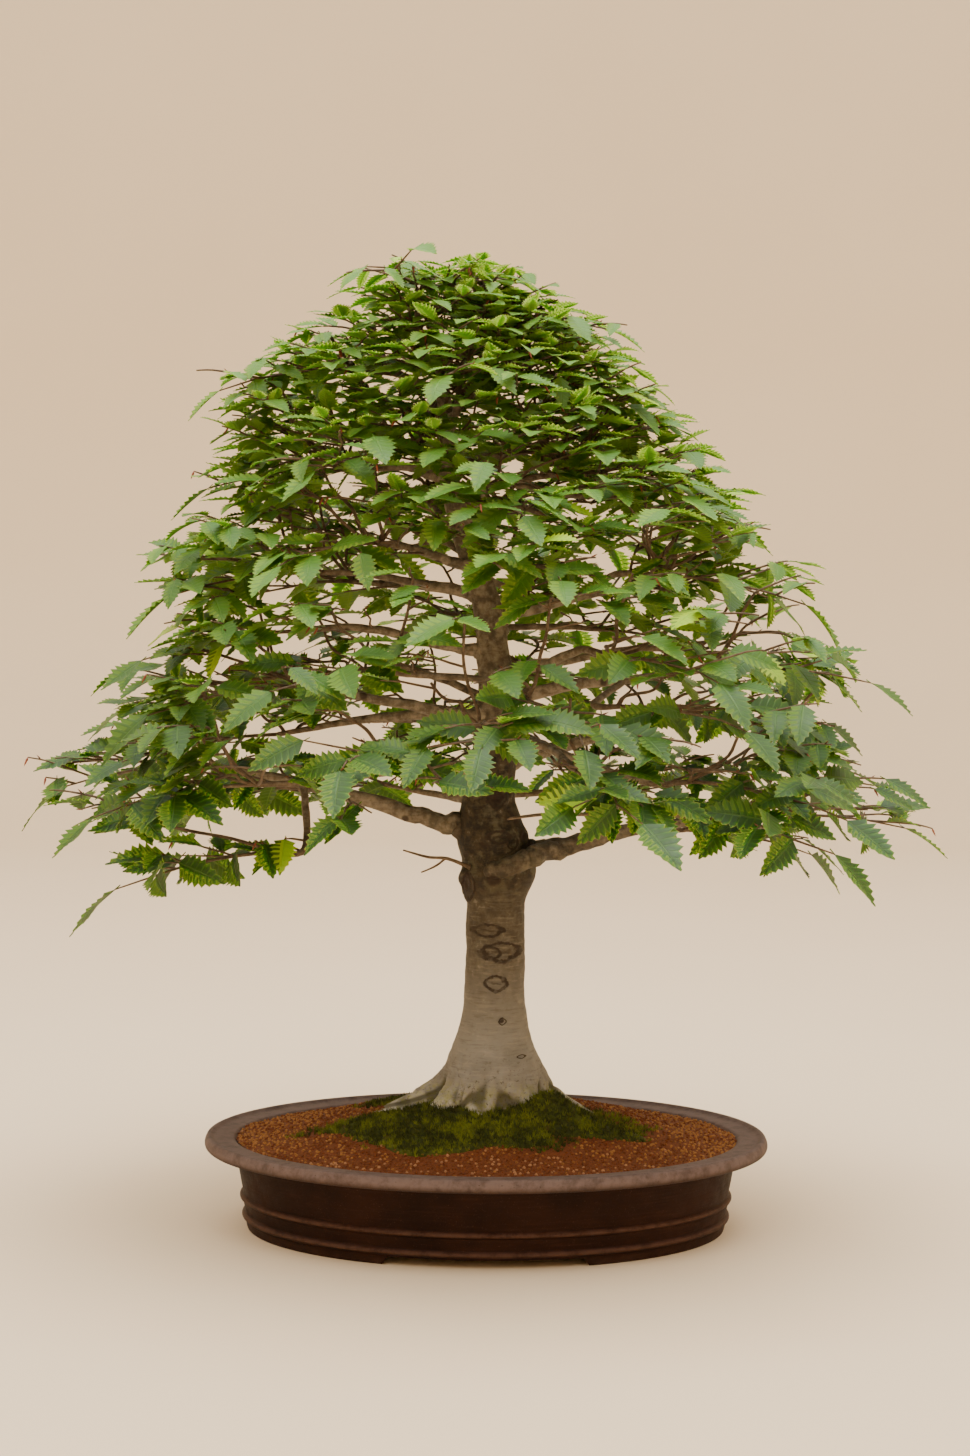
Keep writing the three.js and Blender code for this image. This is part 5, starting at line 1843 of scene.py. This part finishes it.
def twig_paths():
    """The leading twigs of the frame's sprays and all the shoots."""
    paths = []
    for place, spray in enumerate(CROWN_SPRAYS):
        for number, path in enumerate(spray["twigs"]):
            thick = 2.1 if place < len(SPRAYS) and number == 0 else 1.25
            paths.append((path, taper(thick, 0.7, len(path))))
    return paths


branches = grow("branches", paths_mesh("branches", branch_paths()), WOOD_RULE,
                Sides=12, Smoothness=8, Gnarl=0.5, Knots=0.5)
hand_over(branches, "bark", "trunk_and_branches")
thin_branches = grow("thin_branches", paths_mesh("thin_branches", FILL_LIMBS), WOOD_RULE,
                     Sides=7, Smoothness=4, Gnarl=0.6, Knots=0.5)
hand_over(thin_branches, "bark")
twigs_piece = grow("twigs", paths_mesh("twigs", twig_paths()), WOOD_RULE,
                   Sides=5, Smoothness=1, Gnarl=0.0, Knots=0.4)
hand_over(twigs_piece, "bark")

# %% [markdown]
# ## The leaf
#
# A beech leaf is an oval with a wavy, toothed edge and seven or so straight veins on each
# side that run to the notches between the teeth. Each half is cut along its veins, so that
# the faces themselves make its pleats, and the blade is a closed lens half a millimetre
# thick. Its grid runs across the half and from vein to vein, and the finish draws the
# veins from it.

# %% One leaf
TEETH = 7
VEINS = TEETH + 1
BLADE_LENGTH_SHARE = [(0, 0), (0.05, 0.3), (0.12, 0.6), (0.22, 0.86), (0.34, 0.99),
                      (0.44, 1.0), (0.56, 0.92), (0.68, 0.75), (0.8, 0.5), (0.9, 0.26), (1, 0)]
HALF_BLADE = 0.25
BLADE_THICK = 0.009
# How wide the blade is in a notch and at a tooth, to its smooth outline there.
NOTCH_WIDTH, TOOTH_WIDTH = 0.84, 1.16
PLEAT = 0.018


def blade_width(share):
    return HALF_BLADE * read_table(BLADE_LENGTH_SHARE, share, 1)


def leaf_shape(number, fold, droop, curl, wave):
    """A leaf one metre long, its stalk behind the origin and its tip along Y."""
    points, grid, faces, uvs = [], [], [], []

    def surface(across, along, tooth):
        """Height of the blade's middle surface."""
        side = across / HALF_BLADE
        lift = fold * abs(across) - droop * along**2 + curl * side * side * along
        lift += wave * math.sin(along * 9 + number) * side
        return lift + tooth * PLEAT

    def put(across, along, tooth, thick, x, y):
        points.append((across, along, surface(across, along, tooth) + thick))
        grid.append((x, y))
        return len(points) - 1

    spots = [0.0] + [0.04 + 0.118 * vein for vein in range(1, TEETH + 1)]
    tip = put(0, 1, 0, 0, 0.5, 1)
    rims = {}
    for side in (-1, 1):
        rim = []
        for vein in range(TEETH + 1):
            along = spots[vein] + 0.1 * (1 - 0.5 * spots[vein])
            x = 0.5 + 0.5 * side
            if vein > 0:
                wide = blade_width(along) * NOTCH_WIDTH
                rim.append(put(side * wide, along, -0.5, 0, x, vein / VEINS))
            after = min(along + 0.085, 0.985)
            wide = blade_width(after) * TOOTH_WIDTH + 0.008
            rim.append(put(side * wide, after + 0.012, 0.6, 0, x, (vein + 0.6) / VEINS))
        rims[side] = rim
    for thick, under in ((BLADE_THICK / 2, 0), (-BLADE_THICK / 2, 1)):
        ribs = [put(0, along, -0.25, thick, 0.5, vein / VEINS) for vein, along in enumerate(spots)]
        for side in (-1, 1):
            rim = rims[side]
            loops = [(ribs[0], rim[0], rim[1], ribs[1])]
            for vein in range(1, TEETH):
                notch, tooth, after = rim[2 * vein - 1:2 * vein + 2]
                loops.append((ribs[vein], notch, tooth))
                loops.append((ribs[vein], tooth, after, ribs[vein + 1]))
            loops.append((ribs[TEETH], rim[-2], rim[-1], tip))
            for loop in loops:
                loop = loop if (side > 0) != (under > 0) else loop[::-1]
                faces.append(loop)
                uvs += [(grid[corner][0] + 2 * under, grid[corner][1]) for corner in loop]
    add_stalk(points, faces, uvs, ribs_height=surface(0, 0, -0.25))
    mesh = shape_of(f"leaf_{number}", points, faces)
    layer = mesh.uv_layers.new(name="blade")
    layer.data.foreach_set("uv", np.array(uvs, float).ravel())
    mesh.update()
    smooth(mesh, 75)
    return mesh


def add_stalk(points, faces, uvs, ribs_height):
    """A three-sided stalk from the twig to the foot of the blade."""
    start = len(points)
    for along, rise in ((-0.11, 0.012), (0.012, ribs_height)):
        for turn in (90, 210, 330):
            across = 0.011 * math.cos(math.radians(turn))
            lift = 0.011 * math.sin(math.radians(turn))
            points.append((across, along, rise + lift))
    a, b, c, d, e, f = range(start, start + 6)
    for loop in (d, e, b, a), (e, f, c, b), (f, d, a, c), (b, c, a), (f, e, d):
        faces.append(loop)
        uvs += [(0.5, 0.0)] * len(loop)


LEAF_SHAPES = [
    (0.14, 0.2, 0.0, 0.012), (0.22, 0.12, 0.02, 0.018), (0.06, 0.24, -0.04, 0.02),
    (0.12, 0.06, 0.03, 0.026), (0.26, 0.26, 0.0, 0.015),
]
leaf_shapes = shelf("leaf_shapes", [
    leaf_shape(number, *form) for number, form in enumerate(LEAF_SHAPES)
])


# %% [markdown]
# The upper face of a beech leaf is a satin mid green with paler ribs, and the lower face
# is lighter and duller, and painted lighter still for the light that shines through it.
# The odd young leaf is lime. Leaves inside the crown and low on it are darkened with
# painted shade, and those at its top lightened with painted light. Each leaf carries its
# own tone.

# %% Leaf finish
def make_leaf_green():
    green = Finish(
        "beech_leaf", Specular_IOR_Level=0.3, Subsurface_Weight=0.4,
        Subsurface_Radius=(0.6, 1.0, 0.15), Subsurface_Scale=0.002,
    )
    u, v, _ = green.parts(green.add("ShaderNodeUVMap", {"uv_map": "blade"}))
    height = green.parts(green.place)[2] * 1000
    under = green.step(u, 1.4, 1.6)
    across = abs(u - under * 2 - 0.5) * 2
    vein_step = v * VEINS
    nearest = abs(vein_step - vein_step.work("ROUND", vein_step))
    vein = green.step(nearest, 0.16, 0.04) * green.step(across, 1.02, 0.9)
    midrib = green.step(across, 0.1, 0.03)
    ribs = vein.work("MAXIMUM", vein * 0.55, midrib)
    tone = green.attribute("tone")
    blotch = green.clouds(16, 3)
    # Leaves low in the crown get painted shade, as if shaded by the crown above them.
    low = green.step(height, 660, 450)
    face = green.coats(
        green.blend(tone, paint(54, 92, 14), paint(84, 126, 38)),
        (green.step(blotch, 0.35, 0.7) * 0.35, (74, 112, 40)),
        # Painted shade on leaves deep inside the crown.
        (green.attribute("depth") * 0.3, (42, 76, 8)),
        (low * 0.85, (32, 60, 8)),
        # Painted light on the leaves at the top of the crown.
        (green.step(height, 720, 880) * 0.4, (98, 138, 42)),
        (green.attribute("youth"), (160, 196, 30)),
        (ribs * 0.2, (104, 140, 48)),
        (green.step(across, 0.9, 1.0) * 0.2, (112, 122, 52)),
    )
    # The lower face: pale as a beech leaf's is, and lighter still as painted light shining through
    # the leaf; low leaves get painted shade here too.
    back = green.coats(
        green.blend(tone, paint(84, 118, 28), paint(112, 148, 46)),
        (low * 0.75, (46, 76, 15)),
        (ribs * 0.3, (132, 160, 70)),
    )
    colour = green.blend(under, face, back)
    rough = green.step(blotch, 0.2, 0.8, 0.42, 0.58) + under * 0.2
    return green.done(colour, rough, (1 - ribs, 0.25))


LEAF_GREEN = make_leaf_green()


# %% [markdown]
# A rule puts one of the shapes at each place, turned and sized as that place says. It
# serves the leaves and the buds.

# %% Put the leaves on the twigs
def placing_rule(name, shapes, material):
    rule = Rule(name, Size=("Float", 1.0))
    copies = rule.copies(shapes, rule.start, **{
        "Instance Index": rule.named("own_kind", "INT"),
        "Rotation": rule.named("own_turn", "QUATERNION"),
        "Scale": rule.named("own_length") * rule.start.other("Size"),
    })
    return rule.end(copies, material)


def places_mesh(name, items, kinds):
    """The bases of leaves or buds as points, with the turn, length and kind of each."""
    mesh = mesh_of(name, [item["base"] for item in items], [])
    turns, picks = [], []
    for item in items:
        right = item["ahead"].cross(item["up"])
        axes = Matrix((right, item["ahead"], item["up"])).transposed()
        turns.append(tuple(axes.to_quaternion()))
        picks.append(int(chance(83, *[round(part) for part in item["base"]]) * kinds))
    give(mesh, "own_turn", turns, "QUATERNION")
    give(mesh, "own_length", [item["length"] * MM for item in items])
    give(mesh, "own_kind", picks, "INT")
    return mesh


def leaves_carrier(leaves):
    """The places of leaves, each with its tone, its youth and how deep inside it grows."""
    mesh = places_mesh("leaves", leaves, len(LEAF_SHAPES))
    tones, youths, depths = [], [], []
    for leaf in leaves:
        keys = [round(part) for part in leaf["base"]]
        tones.append(chance(81, *keys))
        youths.append(0.85 if chance(82, *keys) > 0.975 else 0.0)
        out = leaf["base"] - CROWN_MIDDLE
        reach = crown_reach(math.atan2(out.y, out.x), leaf["base"].z)
        # How deep inside the crown a leaf grows, which sets how much painted shade it gets.
        depths.append(min(max(1.15 - math.hypot(out.x, out.y) / reach * 1.25, 0), 1))
    give(mesh, "tone", tones)
    give(mesh, "youth", youths)
    give(mesh, "depth", depths)
    return mesh


LEAF_RULE = placing_rule("leaves_on_twigs", leaf_shapes, LEAF_GREEN)
# Each layer of the crown and the height up to which it reaches.
LAYERS = {
    "leaves_low": 508, "leaves_middle": 630, "leaves_high": 740, "leaves_of_the_dome": 840,
    "leaves_of_the_top": 1100,
}


def layer_of(spray):
    """The layer in which most leaves of a spray hang."""
    middle = sum(leaf["base"].z for leaf in spray["leaves"]) / len(spray["leaves"])
    return next(name for name, top in LAYERS.items() if middle < top)


def make_layers():
    """One piece for each layer, which stands for the sprays of the solid model in it."""
    for name in LAYERS:
        own = [number for number, spray in enumerate(CROWN_SPRAYS)
               if spray["leaves"] and layer_of(spray) == name]
        leaves = [leaf for number in own for leaf in CROWN_SPRAYS[number]["leaves"]]
        layer = grow(name, leaves_carrier(leaves), LEAF_RULE, Size=1.0)
        nodes = [f"spray_{number + 1:02d}" for number in own if number < len(STARTS)]
        hand_over(layer, "leaf", *nodes)


make_layers()
clear_shelf(leaf_shapes)

# %% [markdown]
# Beech buds are slim pointed spindles of brown scales. One sits here and there beside a
# leaf, and under the ends of the shoots dry red-brown bud scales still hang.

# %% Buds and bud scales
BUD_SIDES = 5
BUD_RINGS = [(0, 0.055), (0.28, 0.125), (0.31, 0.108), (0.64, 0.085)]
BUD_BENDS = [0.0, 0.12, -0.16]
# The share of the joints with a bud, and the share of those near a tip that are dry.
BUD_SHARE, DRY_SHARE = 0.18, 0.4


def bud_shape(number, bend_aside):
    """A bud one metre long along Y, with one overlapping row of scales."""
    points = []
    for along, radius in BUD_RINGS:
        for side in range(BUD_SIDES):
            turn = (side + 0.5 * (along > 0.3)) / BUD_SIDES * math.tau
            points.append((
                radius * math.cos(turn) + bend_aside * along**2, along, radius * math.sin(turn),
            ))
    points.append((bend_aside, 1.0, 0.0))
    faces = [(a, d, c, b) for a, b, c, d in between_rings(len(BUD_RINGS), BUD_SIDES)]
    last = len(points) - 1 - BUD_SIDES
    for side in range(BUD_SIDES):
        faces.append((last + side, len(points) - 1, last + (side + 1) % BUD_SIDES))
    faces.append(tuple(range(BUD_SIDES)))
    mesh = shape_of(f"bud_{number}", points, faces)
    mesh.shade_smooth()
    return mesh


def make_bud_brown():
    brown = Finish("bud_brown", Specular_IOR_Level=0.5)
    scales = brown.clouds(1.6, 2)
    colour = brown.coats(
        brown.tones(scales, 0.35, 0.65, (74, 40, 22), (118, 68, 38)),
        (brown.attribute("dry"), (132, 62, 36)),
    )
    return brown.done(colour, brown.step(scales, 0.2, 0.8, 0.4, 0.6), (scales, 0.1))


def find_buds():
    """A bud at some joints, leaning off the shoot, and dry scales hanging at its end."""
    buds = []
    for place, spray in enumerate(CROWN_SPRAYS):
        for twig, path in enumerate(spray["twigs"]):
            for joint in range(1, len(path)):
                keys = (101, place, twig, joint)
                if chance(*keys) > BUD_SHARE:
                    continue
                forward = (path[joint] - path[joint - 1]).normalized()
                right, up = sections(forward)
                dry = joint > len(path) - 3 and chance(102, *keys) < DRY_SHARE
                aside = right * spread(-0.8, 0.8, 103, *keys) + up * spread(0.1, 0.7, 104, *keys)
                if dry:
                    aside = right * spread(-0.5, 0.5, 105, *keys) - Vector((0, 0, 1.4))
                ahead = (forward * 0.8 + aside).normalized()
                across = square_to(ahead, up)
                length = spread(7.5, 11, 106, *keys) if dry else spread(4.5, 8, 107, *keys)
                buds.append({"base": path[joint], "ahead": ahead, "up": across,
                             "length": length, "dry": float(dry)})
    return buds


BUDS = find_buds()
bud_shapes = shelf("bud_shapes", [bud_shape(*form) for form in enumerate(BUD_BENDS)])
bud_places = places_mesh("buds", BUDS, len(BUD_BENDS))
give(bud_places, "dry", [bud["dry"] for bud in BUDS])
bud_rule = placing_rule("buds_on_twigs", bud_shapes, make_bud_brown())
hand_over(grow("buds", bud_places, bud_rule, Size=1.0), "bark")
clear_shelf(bud_shapes)

# %% [markdown]
# ## Floor and light
#
# The tree stands on a plain pale floor under soft light: an even sky, a wide light above,
# which gives the leaves their sheen, and a weak one from the front left.

# %% Floor, lights and sky
# The floor's profile in metres: distance from the pot, and height.
FLOOR_SWEEP = [(2.2, 0), (4.6, 0), (5.3, 0.08), (5.9, 0.4), (6.3, 1.0), (6.4, 1.8), (6.4, 5)]
FLOOR_TURNS = 96


def make_floor():
    """A round floor that sweeps up to a wall far behind the tree."""
    points = [
        towards(step / FLOOR_TURNS * math.tau, radius / MM, height / MM)
        for radius, height in FLOOR_SWEEP for step in range(FLOOR_TURNS)
    ]
    faces = [tuple(range(FLOOR_TURNS))]
    faces += [(a, d, c, b) for a, b, c, d in between_rings(len(FLOOR_SWEEP), FLOOR_TURNS)]
    floor = show("floor", mesh_of("floor", points, faces))
    floor.data.shade_smooth()
    pale = Finish("pale_floor", Roughness=0.9)
    cloud = pale.clouds(900, 2)
    colour = pale.blend(cloud, paint(226, 203, 168), paint(232, 210, 176))
    floor.data.materials.append(pale.done(colour))


def add_light(name, place, size, watts):
    """A square soft light that looks at the middle of the crown."""
    lamp = bpy.data.lights.new(name, "AREA")
    lamp.size = size
    lamp.energy = watts
    light = bpy.data.objects.new(name, lamp)
    light.location = HOME + np.array(place)
    aim = Vector(HOME) + Vector((0, 0, 0.45)) - light.location
    light.rotation_euler = aim.to_track_quat("-Z", "Y").to_euler()
    light.visible_camera = False
    bpy.context.scene.collection.objects.link(light)


def light_sky(colour, strength):
    world = bpy.data.worlds.new("sky")
    world.use_nodes = True
    sky = world.node_tree.nodes["Background"]
    sky.inputs["Color"].default_value = colour
    sky.inputs["Strength"].default_value = strength
    bpy.context.scene.world = world


make_floor()
add_light("light_above", (0.2, -0.5, 3.6), 2.6, 130)
add_light("light_front", (-1.8, -2.8, 2.4), 1.8, 12)
light_sky((1.0, 0.98, 0.95, 1), 2.08)
